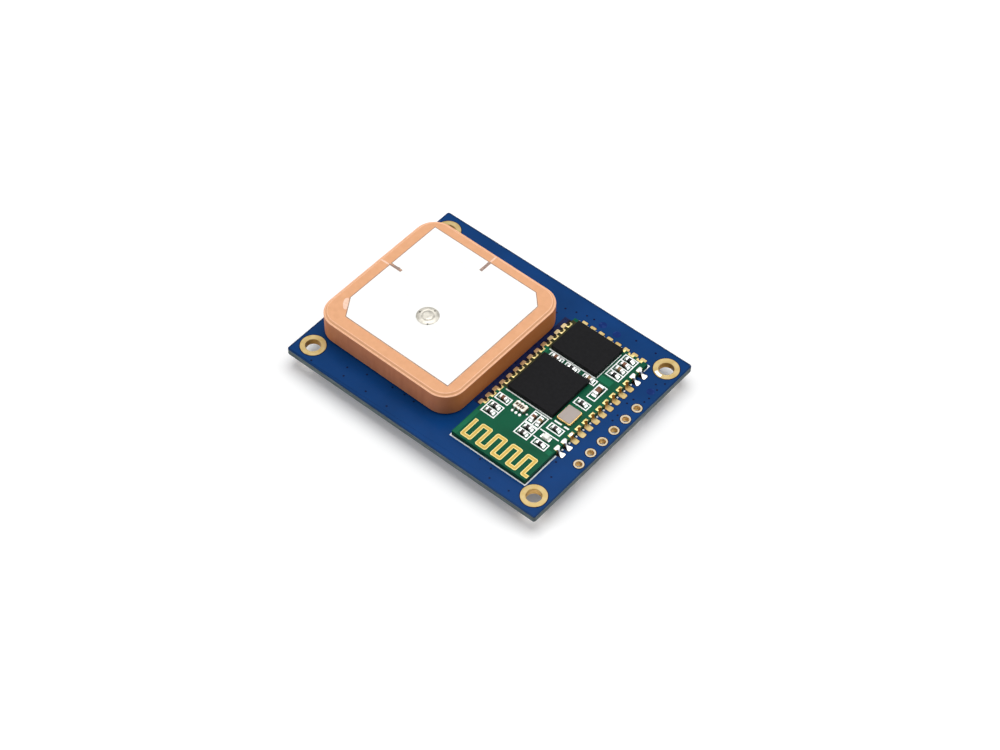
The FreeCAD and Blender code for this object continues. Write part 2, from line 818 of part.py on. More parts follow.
def make_shield():
    """Open can whose flat face carries the whole part."""
    outer_x = receiver_length - 2 * shield_inset
    outer_y = receiver_width - 2 * shield_inset
    can = clipped_plate(receiver_x, 0, 0, outer_x, outer_y, shield_height, shield_corner_cut)
    hollow = clipped_plate(receiver_x, 0, shield_wall, outer_x - 2 * shield_wall,
                           outer_y - 2 * shield_wall, shield_height, shield_corner_cut)
    save("receiver_shield", [can.cut(hollow)])


def receiver_pad_places():
    """Offsets of the pads along a long side: a group towards each end of the receiver."""
    first = receiver_pad_group_gap / 2
    count = int((receiver_length / 2 - first - receiver_pad_width) / receiver_pad_pitch) + 1
    reach = [first + receiver_pad_pitch * i for i in range(count)]
    return [side * offset for side in (-1, 1) for offset in reach]


def make_receiver_joints():
    """Lands on the main board's underside, and solder between them and the receiver's edge."""
    lands = []
    solder = []
    for side in (-1, 1):
        edge_y = side * receiver_width / 2
        land_y = edge_y + side * (receiver_land_reach - receiver_land_cover) / 2
        tip_y = edge_y + side * receiver_land_reach
        for offset in receiver_pad_places():
            x = receiver_x + offset
            lands.append(block(x, land_y, receiver_top_z, receiver_pad_width,
                               receiver_land_reach + receiver_land_cover, copper))
            start_x = x - receiver_pad_width / 2
            points = [
                Vector(start_x, edge_y, receiver_top_z),
                Vector(start_x, tip_y, receiver_top_z),
                Vector(start_x, edge_y, receiver_top_z - receiver_solder_height),
            ]
            face = Part.Face(Part.makePolygon(points + points[:1]))
            solder.append(face.extrude(Vector(receiver_pad_width, 0, 0)))
    save("receiver_lands", lands)
    save("receiver_solder", solder)


def hung(x, y, high_z, size_x, size_y, height):
    """A box that hangs below a face."""
    return block(x, y, high_z - height, size_x, size_y, height)


def make_receiver():
    board = block(receiver_x, 0, receiver_under_z, receiver_length, receiver_width, receiver_thickness)
    save("receiver_board", [board])
    chip_x = receiver_x - receiver_chip_size / 2
    save("receiver_chip", [hung(chip_x, 0, receiver_under_z, receiver_chip_size, receiver_chip_size,
                                receiver_chip_height)])
    crystal_x = chip_x + (receiver_chip_size + receiver_crystal_length) / 2 + receiver_part_gap
    save("receiver_crystal", [hung(crystal_x, 0, receiver_under_z, receiver_crystal_length,
                                   receiver_crystal_width, receiver_crystal_height)])
    filter_y = (receiver_crystal_width + receiver_filter_width) / 2 + receiver_part_gap
    save("receiver_filter", [hung(crystal_x, filter_y, receiver_under_z, receiver_filter_length,
                                  receiver_filter_width, receiver_filter_height)])


# Regulator and its parts, below the main board

def regulator_lead(y, side):
    """Bent lead from the regulator's body to the board's face."""
    body_x = regulator_width / 2
    tip_x = regulator_span / 2
    foot_x = tip_x - regulator_lead_foot
    middle_z = underside_z - regulator_standoff - regulator_height / 2
    thickness = regulator_lead_thickness
    profile = [
        (body_x, middle_z - thickness),
        (foot_x + thickness, middle_z - thickness),
        (foot_x + thickness, underside_z - thickness),
        (tip_x, underside_z - thickness),
        (tip_x, underside_z),
        (foot_x, underside_z),
        (foot_x, middle_z),
        (body_x, middle_z),
    ]
    start_y = y - regulator_lead_width / 2
    points = [Vector(regulator_x + side * x, start_y, z) for x, z in profile]
    face = Part.Face(Part.makePolygon(points + points[:1]))
    return face.extrude(Vector(0, regulator_lead_width, 0))


def make_regulator():
    body_z = underside_z - regulator_standoff
    save("regulator_body", [hung(regulator_x, 0, body_z, regulator_width, regulator_length,
                                 regulator_height)])
    leads = [regulator_lead(i * regulator_lead_pitch, -1) for i in (-1, 0, 1)]
    leads += [regulator_lead(i * regulator_lead_pitch, 1) for i in (-1, 1)]
    save("regulator_leads", leads)


def make_supply_parts():
    """Capacitors and resistors on both sides of the regulator, along Y."""
    near_row = (regulator_length + big_width) / 2 + supply_row_gap
    far_row = near_row + big_width + supply_row_gap
    capacitor_z = underside_z - big_capacitor_height
    resistor_z = underside_z - big_resistor_height
    capacitors = [chip_part(regulator_x, side * near_row, capacitor_z, "x", big_size, big_capacitor_height)
                  for side in (-1, 1)]
    resistors = [chip_part(regulator_x, side * far_row, resistor_z, "x", big_size, big_resistor_height)
                 for side in (-1, 1)]
    save_parts("supply_capacitors", "supply_capacitor_ends", capacitors)
    save_parts("supply_resistors", "supply_resistor_ends", resistors)


os.makedirs("parts", exist_ok=True)
make_main_board()
make_antenna()
make_feed()
make_radio_board()
make_solder_joints()
make_trace_antenna()
make_chips()
make_crystal()
make_band_filter()
make_lamp()
make_small_parts()
make_radio_print()
make_board_print()
make_receiver()
make_shield()
make_receiver_joints()
make_regulator()
make_supply_parts()
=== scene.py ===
import math

import bmesh
import bpy
from mathutils import Matrix, Vector


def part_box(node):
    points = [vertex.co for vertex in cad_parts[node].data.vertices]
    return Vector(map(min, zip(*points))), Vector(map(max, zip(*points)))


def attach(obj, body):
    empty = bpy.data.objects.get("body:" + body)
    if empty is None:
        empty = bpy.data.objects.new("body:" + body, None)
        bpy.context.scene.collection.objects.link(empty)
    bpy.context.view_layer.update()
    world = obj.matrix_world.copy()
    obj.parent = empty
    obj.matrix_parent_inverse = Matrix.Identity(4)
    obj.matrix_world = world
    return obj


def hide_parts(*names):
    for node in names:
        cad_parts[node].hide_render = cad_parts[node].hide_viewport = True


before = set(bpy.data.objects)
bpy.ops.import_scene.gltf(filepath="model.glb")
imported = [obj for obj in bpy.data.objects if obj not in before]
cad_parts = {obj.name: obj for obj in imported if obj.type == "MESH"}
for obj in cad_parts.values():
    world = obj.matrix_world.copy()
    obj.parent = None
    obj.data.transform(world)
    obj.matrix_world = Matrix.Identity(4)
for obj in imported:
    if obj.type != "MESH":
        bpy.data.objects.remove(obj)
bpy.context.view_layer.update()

# The pieces are modelled in millimetres and made metres when they are finished
MM = 0.001
# Thickness of the copper with its plating, and of the white print
COPPER = 0.035
PRINT = 0.02
# Refraction of resin, ink and mask, and of fired ceramic
RESIN_IOR = 1.5
CERAMIC_IOR = 1.6
# A solder mask is smooth but mirrors little
MASK_ROUGHNESS = 0.24
MASK_GLOSS = 0.08


# Materials

def colour(text):
    """sRGB hex to the linear colour that a socket takes."""
    parts = [int(text[i:i + 2], 16) / 255 for i in (1, 3, 5)]
    linear = [c / 12.92 if c <= 0.04045 else ((c + 0.055) / 1.055) ** 2.4 for c in parts]
    return (*linear, 1.0)


def add(tree, kind, inputs=None, **settings):
    """Add a node with its settings; an input is a value or another node's output."""
    node = tree.nodes.new(kind)
    for name, value in settings.items():
        setattr(node, name, value)
    for name, value in (inputs or {}).items():
        if isinstance(value, bpy.types.NodeSocket):
            tree.links.new(value, node.inputs[name])
        else:
            node.inputs[name].default_value = value
    return node


def emptied(owner):
    """Node tree of a material or world without its first nodes."""
    owner.use_nodes = True
    owner.node_tree.nodes.clear()
    return owner.node_tree


def new_material(name):
    material = bpy.data.materials.new(name)
    tree = emptied(material)
    place = add(tree, "ShaderNodeTexCoord").outputs["Object"]
    return material, tree, place


def noise(tree, place, size, detail=3.0, stretch=None):
    """Noise value with features of a size in millimetres, stretched along an axis if asked."""
    if stretch:
        place = add(tree, "ShaderNodeMapping", {"Vector": place, "Scale": stretch}).outputs["Vector"]
    inputs = {"Vector": place, "Scale": 1 / (size * MM), "Detail": detail}
    return add(tree, "ShaderNodeTexNoise", inputs).outputs["Fac"]


def between(tree, value, low, high, start=0.35, end=0.65):
    """Map a value to a range of plain numbers; a noise value lies mostly between 0.35 and 0.65."""
    inputs = {"Value": value, "From Min": start, "From Max": end, "To Min": low, "To Max": high}
    return add(tree, "ShaderNodeMapRange", inputs).outputs["Result"]


def mixed(tree, amount, first, second):
    """Blend two colours, given as hex text or as a colour output."""
    inputs = {0: amount}
    for index, value in ((6, first), (7, second)):
        inputs[index] = colour(value) if isinstance(value, str) else value
    return add(tree, "ShaderNodeMix", inputs, data_type="RGBA").outputs[2]


def patchy(tree, value, first, second):
    """Two colours in soft patches that follow a noise value."""
    return mixed(tree, between(tree, value, 0.0, 1.0), first, second)


def bumped(tree, height, strength, depth):
    """Surface normal from a height value, with its depth in millimetres."""
    inputs = {"Height": height, "Strength": strength, "Distance": depth * MM}
    return add(tree, "ShaderNodeBump", inputs).outputs["Normal"]


def worked_out(tree, operation, first, second=0.0):
    return add(tree, "ShaderNodeMath", {0: first, 1: second}, operation=operation).outputs[0]


def split(tree, vector):
    """The X, Y and Z outputs of a vector."""
    return add(tree, "ShaderNodeSeparateXYZ", {"Vector": vector}).outputs


def finish_material(tree, inputs):
    shader = add(tree, "ShaderNodeBsdfPrincipled", inputs)
    add(tree, "ShaderNodeOutputMaterial", {"Surface": shader.outputs["BSDF"]})


def masked_laminate(name, mask_low, mask_high, edge_low, edge_high, film_end):
    """Glass-fibre laminate under a solder mask: a glossy coloured film with a faint weave below it,
    and sawn edges that show pale and dark layers of cloth. Down to film_end, a height in millimetres,
    the edges take the film's colour and gloss."""
    material, tree, place = new_material(name)
    film = patchy(tree, noise(tree, place, size=7.0), mask_low, mask_high)
    layers = noise(tree, place, size=2.5, detail=4.0, stretch=(1.0, 1.0, 18.0))
    edge = patchy(tree, layers, edge_low, edge_high)
    weave = noise(tree, place, size=0.45, detail=2.0)
    normal = add(tree, "ShaderNodeNewGeometry").outputs["Normal"]
    upright = worked_out(tree, "ABSOLUTE", split(tree, normal)["Z"])
    flat = worked_out(tree, "GREATER_THAN", upright, 0.5)
    above_film_end = worked_out(tree, "GREATER_THAN", split(tree, place)["Z"], film_end * MM)
    film_share = worked_out(tree, "MAXIMUM", flat, above_film_end)
    finish_material(tree, {
        "Base Color": mixed(tree, film_share, edge, film),
        "Roughness": between(tree, film_share, 0.75, MASK_ROUGHNESS, start=0.0, end=1.0),
        "Normal": bumped(tree, weave, strength=0.06, depth=0.02),
        "Specular IOR Level": MASK_GLOSS,
        "IOR": RESIN_IOR,
    })
    return material


def plated_metal(name, low, high, roughness, grain=0.2, bump=0.15):
    """Thin metal plating: it follows the copper's fine grain, so its gloss is soft and uneven."""
    material, tree, place = new_material(name)
    patches = noise(tree, place, size=0.9)
    finish_material(tree, {
        "Base Color": patchy(tree, patches, low, high),
        "Metallic": 1.0,
        "Roughness": between(tree, patches, roughness - 0.06, roughness + 0.08),
        "Normal": bumped(tree, noise(tree, place, grain), bump, depth=0.02),
    })
    return material


def moulded(name, low, high, roughness, ior=RESIN_IOR, patch=0.8, grain=0.08, depth=0.01, gloss=0.5):
    """Opaque resin, ceramic or ink: one body colour with a fine grain in its surface."""
    material, tree, place = new_material(name)
    patches = noise(tree, place, patch, detail=4.0)
    finish_material(tree, {
        "Base Color": patchy(tree, patches, low, high),
        "Roughness": between(tree, patches, roughness - 0.05, roughness + 0.05),
        "Normal": bumped(tree, noise(tree, place, grain, detail=2.0), 0.25, depth),
        "Specular IOR Level": gloss,
        "IOR": ior,
    })
    return material


def mask(name, low, high, roughness=MASK_ROUGHNESS, **grain):
    """Solder mask or laminate in a shade of its own."""
    return moulded(name, low, high, roughness, gloss=MASK_GLOSS, **grain)


def glazed(name, low, high):
    """Body of a small part, in a colour of its own."""
    return moulded(name, low, high, 0.35, CERAMIC_IOR, patch=0.3, gloss=0.2)


def fired_silver_paste():
    """Fired silver paste on ceramic: matt and almost white, with fine brush and handling marks."""
    material, tree, place = new_material("fired_silver_paste")
    strokes = noise(tree, place, size=1.6, detail=5.0, stretch=(1.0, 7.0, 1.0))
    plain = patchy(tree, noise(tree, place, size=5.0, detail=2.0), "#F9F9F6", "#FCFCFB")
    marked = between(tree, strokes, 0.0, 0.5, start=0.62, end=0.8)
    finish_material(tree, {
        "Base Color": mixed(tree, marked, plain, "#DEDDD4"),
        "Roughness": between(tree, strokes, 0.5, 0.62),
        "Normal": bumped(tree, strokes, strength=0.1, depth=0.01),
        "IOR": RESIN_IOR,
    })
    return material


def ceramic_with_painted_wall_shade(name, top_low, top_high, wall_low, wall_high, shade_on_x_wall=None):
    """Fired ceramic: a dry top with faint specks, and walls with upright drag marks from the press or the
    saw, painted browner and darker than the top as shade. The wall that looks along +X may have painted
    shade of its own colour."""
    material, tree, place = new_material(name)
    specks = noise(tree, place, size=0.9, detail=4.0)
    drag = noise(tree, place, size=0.9, detail=4.0, stretch=(1.0, 1.0, 0.16))
    grain = noise(tree, place, size=0.12, detail=2.0)
    top = patchy(tree, specks, top_low, top_high)
    wall = patchy(tree, drag, wall_low, wall_high)
    facing = split(tree, add(tree, "ShaderNodeNewGeometry").outputs["Normal"])
    # Painted shade: the walls are darker than the top, and the +X wall may take a colour of its own
    if shade_on_x_wall:
        wall = mixed(tree, between(tree, facing["X"], 0.0, 1.0, start=0.2, end=1.0), wall, shade_on_x_wall)
    top_share = between(tree, facing["Z"], 0.0, 1.0, start=0.25, end=0.6)
    finish_material(tree, {
        "Base Color": mixed(tree, top_share, wall, top),
        "Roughness": between(tree, specks, 0.5, 0.6),
        "Normal": bumped(tree, grain, strength=0.25, depth=0.008),
        "IOR": CERAMIC_IOR,
    })
    return material


blue_laminate = masked_laminate("blue_masked_laminate", "#04376E", "#083D79", "#5A6566", "#838F91", 3.35)
green_laminate = masked_laminate("green_masked_laminate", "#074932", "#0C593D", "#06301F", "#0C4630", 3.9)
receiver_laminate = masked_laminate("receiver_masked_laminate", "#174F93", "#1C5AA3", "#6B7059",
                                    "#9C9E86", 1.0)
# Copper under the mask shows as a lighter green
poured_green = mask("mask_over_copper", "#126345", "#186E4D", patch=3.0, grain=0.45)
# Mask that sinks into a small filled hole looks darker
tented_blue = mask("mask_over_hole", "#021033", "#04163C")
# Painted shade darkens the mask in a band along the sawn rim
rim_shade_blue = mask("mask_with_painted_rim_shade", "#042F5A", "#083462", patch=7.0, grain=0.45)
# Mask over bare laminate, where the copper below is left out, is a shade darker and more violet
bare_blue = mask("mask_over_laminate", "#0B2965", "#103275")
# Beside the ceramic, in the narrow channel, the mask carries painted shade, darkest near the lands
channel_shade_blue = mask("mask_with_painted_channel_shade", "#151C43", "#1D2855", 0.3)
lands_shade_blue = mask("mask_with_painted_shade", "#1A1014", "#241A1E", 0.4)
# Painted shade on the green mask between the pads and the black chips
chip_side_shade_green = mask("green_mask_with_painted_shade", "#30331C", "#3D3B22", 0.4)
# Bare laminate between the mask and a copper pad, painted near-black as the shade and dark outline round
# the pad
gap_and_shade_blue = mask("bare_laminate_gap_with_painted_shade", "#04102C", "#0A183A", 0.6)
gap_and_shade_green = mask("bare_green_laminate_gap_with_painted_shade", "#06140F", "#0C2018", 0.6)
# Gold over nickel on copper pads: warm, satin, slightly uneven
gold_plating = plated_metal("gold_over_nickel", "#CDB878", "#DCCB92", 0.42)
# The lands are darker and duller than the pads
land_gold = plated_metal("gold_on_lands", "#AC935E", "#BDAA7C", 0.45)
# Beside the ceramic they are painted browner as shade
shaded_land_gold = plated_metal("shaded_land_gold", "#AC8D64", "#BC9E7A", 0.45)
# The last of that row are painted brighter as light
lit_land_gold = plated_metal("gold_on_lands_with_painted_light", "#BAA67E", "#C8B48C", 0.45)
ring_gold = plated_metal("gold_on_rings", "#A78F5C", "#B7A376", 0.48)
# The header rings are paler, with nickel showing through
header_ring_gold = plated_metal("pale_gold_on_rings", "#AA9A7C", "#BCAF9C", 0.48)
# The trace has the same gold, a little yellower and flatter, and its edges carry a band of painted
# highlight
trace_gold = plated_metal("gold_on_trace", "#AA8E4A", "#B69B56", 0.5, grain=0.15, bump=0.1)
trace_painted_highlight = plated_metal("gold_trace_painted_highlight", "#CBBB78", "#D6C98C", 0.4, grain=0.15, bump=0.1)
# Gold inside a plated hole is painted brown: painted shade, and the gold it mirrors there
shaded_barrel_gold = plated_metal("gold_with_painted_shade_in_a_hole", "#9E7638", "#B98C4C", 0.4)
# The half holes beside the ceramic turn their lips to the shade
shaded_gold = plated_metal("gold_in_shade", "#3E2B12", "#523A1B", 0.5)
# The small header holes have painted light on their walls
lit_barrel_gold = plated_metal("gold_with_painted_light_in_a_hole", "#D8AE64", "#F0CB87", 0.5)
gold_seal = plated_metal("gold_seal", "#D9B06A", "#EBC988", 0.4)
# Reflowed tin alloy: very bright, with soft ripples
solder = plated_metal("reflowed_solder", "#ECEDEC", "#FAFAF8", 0.4, grain=0.5, bump=0.3)
# Hand-soldered joint on the silver: greyer, with a wrinkled skin
hand_solder = plated_metal("hand_solder", "#A5A198", "#C8C4BA", 0.45, grain=0.35, bump=0.7)
tinned_ends = plated_metal("tinned_ends", "#E2E3E1", "#F4F4F2", 0.34, grain=0.12, bump=0.2)
shield_sheet = plated_metal("tinned_steel_sheet", "#C4C6C8", "#CDCFD0", 0.34, grain=0.6, bump=0.04)
nickel_lid = plated_metal("nickel_lid", "#958C87", "#9E9590", 0.6, grain=0.1, bump=0.08)
# Burnt flux left round a joint
flux = moulded("burnt_flux", "#120C08", "#1E150E", 0.5, gloss=0.1)
# Both ceramics have walls painted darker than their tops as shade; the dielectric's +X wall has its own
# painted shade
dielectric = ceramic_with_painted_wall_shade("dielectric_ceramic", "#DD9E6E", "#E3A577", "#D18155", "#DA8B5D", "#CB783C")
# The pressed edges carry a painted highlight, paler than the top
ceramic_rim_highlight = moulded("ceramic_edge_painted_highlight", "#F0B58C", "#F8C29B", 0.45, CERAMIC_IOR, patch=0.5)
silver_paste = fired_silver_paste()
# A narrow grey-brown band runs along the paste's edge
silver_edge = moulded("silver_paste_edge", "#8E6A58", "#A88470", 0.6, patch=0.5)
# A blade has scraped the paste off and left metal dust
scraped_slit = moulded("scraped_slit", "#8C776D", "#A8938A", 0.7, patch=0.3)
pale_scratch = moulded("pale_scratch", "#F0C4A8", "#F6D2BC", 0.6, patch=0.3)
# Black moulded resin of chip packages: fine matt spark grain
chip_resin = moulded("chip_resin", "#121214", "#18181A", 0.5, 1.55, patch=0.5, grain=0.06, depth=0.008,
                     gloss=0.06)
foam_tape = moulded("foam_tape", "#232325", "#303033", 0.9, 1.45, patch=0.4, grain=0.15, depth=0.03)
white_ink = moulded("white_ink", "#F8FBFA", "#FEFFFF", 0.55, patch=0.4, grain=0.1, depth=0.005)
dark_ceramic = moulded("dark_ceramic", "#2B2624", "#3A3431", 0.5, CERAMIC_IOR)
cream_ceramic = ceramic_with_painted_wall_shade("cream_ceramic", "#E6DFCB", "#F0EADB", "#4A4033", "#6E6250")
# Burnt-in brown mark on the filter, and the seam in the crystal's rim
brown_mark = moulded("brown_mark", "#33200F", "#52361C", 0.6, patch=0.15)
seam_brown = moulded("seam_brown", "#6E4C24", "#8A6232", 0.6, patch=0.15)
brown_ceramic = glazed("brown_ceramic", "#6B422C", "#85563A")
tan_ceramic = glazed("tan_ceramic", "#86694A", "#A18560")
grey_ceramic = glazed("grey_ceramic", "#2E2B29", "#4A4643")
black_glaze = moulded("black_glaze", "#0E0E10", "#19191C", 0.25, patch=0.3, gloss=0.2)
lamp_body = moulded("lamp_body", "#DCDDD3", "#ECECE4", 0.5)
lamp_resin = moulded("lamp_resin", "#EEF1E6", "#F7F8F1", 0.2, patch=0.5)


# Pieces

def solids_of(node):
    """Low and high corner of each separate solid of a node, in millimetres."""
    mesh = bmesh.new()
    mesh.from_mesh(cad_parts[node].data)
    bmesh.ops.remove_doubles(mesh, verts=mesh.verts, dist=1e-6)
    left = set(mesh.verts)
    boxes = []
    while left:
        found = [left.pop()]
        points = []
        while found:
            vert = found.pop()
            points.append(vert.co / MM)
            for edge in vert.link_edges:
                other = edge.other_vert(vert)
                if other in left:
                    left.remove(other)
                    found.append(other)
        low = Vector([min(p[i] for p in points) for i in range(3)])
        high = Vector([max(p[i] for p in points) for i in range(3)])
        boxes.append((low, high))
    mesh.free()
    return sorted(boxes, key=lambda box: (round(box[0].x, 2), round(box[0].y, 2)))


def box_of(node):
    low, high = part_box(node)
    return low / MM, high / MM


def middle(box):
    return (box[0] + box[1]) / 2


# Faces of the blue and the green board that carry the parts
BOARD_TOP = box_of("main_board")[1].z
RADIO_TOP = box_of("radio_board")[1].z


def placed(x, y, z=0.0, turn=0.0):
    return Matrix.Translation((x, y, z)) @ Matrix.Rotation(math.radians(turn), 4, "Z")


def edges_of(verts):
    return list({edge for vert in verts for edge in vert.link_edges})


def extent(edge, axis):
    """How far an edge reaches along an axis, 0 for X, 1 for Y and 2 for Z."""
    return abs(edge.verts[0].co[axis] - edge.verts[1].co[axis])


def upright_edges(mesh, height):
    return [edge for edge in mesh.edges if extent(edge, 2) > height]


def edges_above(mesh, z):
    return [edge for edge in mesh.edges if min(vert.co.z for vert in edge.verts) > z]


def top_face(mesh):
    return max(mesh.faces, key=lambda face: face.calc_center_median().z)


def soften(mesh, edges, width, segments=2):
    return bmesh.ops.bevel(mesh, geom=edges, offset=width, offset_type="OFFSET", segments=segments,
                           profile=0.5, affect="EDGES", material=-1, clamp_overlap=True)


def band_top(mesh, z, width):
    """Give a band along the rim of the top face the second material."""
    top = [face for face in mesh.faces if face.calc_center_median().z > z - 0.001]
    for face in bmesh.ops.inset_region(mesh, faces=top, thickness=width, use_even_offset=True)["faces"]:
        face.material_index = 1


def add_box(mesh, low, high, width=0.0, segments=2, material=0):
    """A box between two corners, its edges rounded."""
    low = Vector(low)
    high = Vector(high)
    matrix = Matrix.Translation((low + high) / 2) @ Matrix.Diagonal((*(high - low), 1.0))
    verts = bmesh.ops.create_cube(mesh, size=1.0, matrix=matrix)["verts"]
    faces = {face for vert in verts for face in vert.link_faces}
    for face in faces:
        face.material_index = material
    if width:
        soften(mesh, edges_of(verts), width, segments)


def add_disc(mesh, radius, segments, matrix):
    bmesh.ops.create_circle(mesh, cap_ends=True, radius=radius, segments=segments, matrix=matrix)


def add_ball(mesh, centre, radii, segments, rows):
    """A ball with its own radius along each axis."""
    matrix = Matrix.Translation(centre) @ Matrix.Diagonal((*radii, 1))
    bmesh.ops.create_uvsphere(mesh, u_segments=segments, v_segments=rows, radius=1, matrix=matrix)


def add_turned(mesh, profile, x, y, steps=48, closed=True, angle=360.0):
    """Spin a profile of (radius, z) points about an upright axis."""
    verts = [mesh.verts.new((x + radius, y, z)) for radius, z in profile]
    pairs = list(zip(verts, verts[1:]))
    if closed:
        pairs.append((verts[-1], verts[0]))
    edges = [mesh.edges.new(pair) for pair in pairs]
    bmesh.ops.spin(mesh, geom=verts + edges, cent=(x, y, 0), axis=(0, 0, 1),
                   angle=math.radians(angle), steps=steps, use_merge=angle == 360.0)


def close_holes(mesh):
    bmesh.ops.holes_fill(mesh, edges=[edge for edge in mesh.edges if edge.is_boundary], sides=0)


def as_data(name, mesh):
    """Mesh data made of a mesh that is no longer edited."""
    data = bpy.data.meshes.new(name)
    mesh.to_mesh(data)
    mesh.free()
    return data


def linked(name, data):
    """A new object in the scene."""
    made = bpy.data.objects.new(name, data)
    bpy.context.scene.collection.objects.link(made)
    return made


def repeated(template, places, mesh=None):
    """Copies of a small mesh at each place, in one mesh."""
    data = as_data("template", template)
    if mesh is None:
        mesh = bmesh.new()
    for place in places:
        start = len(mesh.verts)
        mesh.from_mesh(data)
        mesh.verts.ensure_lookup_table()
        bmesh.ops.transform(mesh, matrix=place, verts=mesh.verts[start:])
    bpy.data.meshes.remove(data)
    return mesh


def merged_copy(node):
    """A copy of a CAD node's mesh in millimetres, with whole faces instead of loose triangles."""
    mesh = bmesh.new()
    mesh.from_mesh(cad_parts[node].data)
    bmesh.ops.remove_doubles(mesh, verts=mesh.verts, dist=1e-6)
    bmesh.ops.transform(mesh, matrix=Matrix.Scale(1 / MM, 4), verts=mesh.verts)
    bmesh.ops.dissolve_limit(mesh, angle_limit=0.01, verts=mesh.verts, edges=mesh.edges)
    return mesh


def finish_piece(name, mesh, materials, slot, *nodes, sharp=35.0):
    """Make the mesh a piece that rides on the board and stands for the CAD nodes."""
    bmesh.ops.remove_doubles(mesh, verts=mesh.verts, dist=1e-5)
    bmesh.ops.recalc_face_normals(mesh, faces=mesh.faces)
    bmesh.ops.transform(mesh, matrix=Matrix.Scale(MM, 4), verts=mesh.verts)
    for face in mesh.faces:
        face.smooth = True
    data = as_data(name, mesh)
    data.set_sharp_from_angle(angle=math.radians(sharp))
    for material in materials:
        data.materials.append(material)
    piece = linked(name, data)
    even = piece.modifiers.new("even_shading", "WEIGHTED_NORMAL")
    even.keep_sharp = True
    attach(piece, "root")
    if nodes:
        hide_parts(*nodes)
    return piece


def add_flat(name, materials, slot, z, patches):
    """Thin oval marks on a face: corner x and y, size along x and y, and a turn about the corner."""
    mesh = bmesh.new()
    for index, (x, y, length, width, turn) in enumerate(patches):
        # Each mark lies a little higher than the last, so marks that cross don't flicker
        matrix = placed(x, y, z + 0.001 * index, turn) @ Matrix.Translation((length / 2, width / 2, 0))
        matrix = matrix @ Matrix.Diagonal((length / 2, width / 2, 1, 1))
        add_disc(mesh, radius=1.15, segments=12, matrix=matrix)
    finish_piece(name, mesh, materials, slot)


def paint(node, material):
    """Give a CAD node its finish."""
    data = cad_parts[node].data
    data.materials.clear()
    data.materials.append(material)


# These nodes keep their CAD shape
paint("radio_board", green_laminate)
paint("receiver_board", receiver_laminate)
paint("antenna_tape", foam_tape)
paint("antenna_ground", silver_paste)
paint("board_silkscreen", white_ink)
paint("receiver_lands", gold_plating)
paint("receiver_chip", chip_resin)
paint("receiver_crystal", nickel_lid)
paint("receiver_filter", cream_ceramic)
paint("regulator_leads", tinned_ends)


def make_board():
    """The blue board with its sawn corners slightly rounded, and a band of painted shade along the rim of
    its top.
    """
    node = "main_board"
    high = box_of(node)[1]
    mesh = merged_copy(node)
    corners = [edge for edge in upright_edges(mesh, 0.9)
               if abs(edge.verts[0].co.x) > high.x - 0.1 and abs(edge.verts[0].co.y) > high.y - 0.1]
    soften(mesh, corners, width=0.35, segments=5)
    # A band of painted shade darkens the mask along the rim of the top
    band_top(mesh, BOARD_TOP, width=0.22)
    finish_piece("board_blank", mesh, [blue_laminate, rim_shade_blue], "blue_mask", node)


# Patch antenna

def make_ceramic():
    """Pressed ceramic block: rounded upright corners, and a rim that steps down by a short slope."""
    low, high = box_of("antenna_ceramic")
    size = 25.0
    corner = 3.3
    ledge = 0.2
    slope = 0.3
    turn = -0.5
    shoulder = high.z - slope
    centre = middle((low, high))
    mesh = bmesh.new()
    bmesh.ops.create_cube(mesh, size=1.0, matrix=Matrix.Diagonal((size, size, shoulder - low.z, 1.0)))
    soften(mesh, upright_edges(mesh, 1), corner, segments=14)
    top = top_face(mesh)
    bmesh.ops.inset_region(mesh, faces=[top], thickness=ledge, use_even_offset=True)
    bmesh.ops.inset_region(mesh, faces=[top], thickness=slope, depth=slope, use_even_offset=True)
    rims = [edge for edge in mesh.edges if edge.calc_face_angle(0) > 0.6]
    # The rounded rims get a paler colour as a painted highlight
    for face in soften(mesh, rims, width=0.07, segments=3)["faces"]:
        face.material_index = 1
    matrix = placed(centre.x, centre.y, (shoulder + low.z) / 2, turn)
    bmesh.ops.transform(mesh, matrix=matrix, verts=mesh.verts)
    finish_piece("ceramic_block", mesh, [dielectric, ceramic_rim_highlight], "dielectric_ceramic", "antenna_ceramic")


def make_electrode():
    """Silver face with a thin grey edge, dark scraped slits, and a patch torn off at a corner."""
    node = "antenna_electrode"
    low, high = box_of(node)
    mesh = merged_copy(node)
    band_top(mesh, high.z, width=0.12)
    finish_piece("silver_face", mesh, [silver_paste, silver_edge], "fired_silver", node)
    add_flat("slit_floors", [scraped_slit], "dielectric_ceramic", low.z + 0.012,
             ((-19.62, 1.12, 2.05, 0.26, 0), (-9.12, 8.78, 0.26, 2.02, 0)))
    add_flat("slit_ends", [scraped_slit], "fired_silver", high.z + 0.002,
             ((-18.9, 1.25, 0.9, 0.24, 8), (-18.36, 1.26, 0.5, 0.34, 10), (-9.14, 8.7, 0.3, 0.55, -10)))
    add_flat("pale_scratches", [pale_scratch], "dielectric_ceramic", low.z + 0.004,
             ((-21.15, 0.98, 1.5, 0.26, 2), (-9.16, 10.82, 0.26, 1.3, 0), (-20.14, -7.77, 1.9, 0.7, -53),
              (-20.0, -7.5, 1.3, 0.5, -60)))


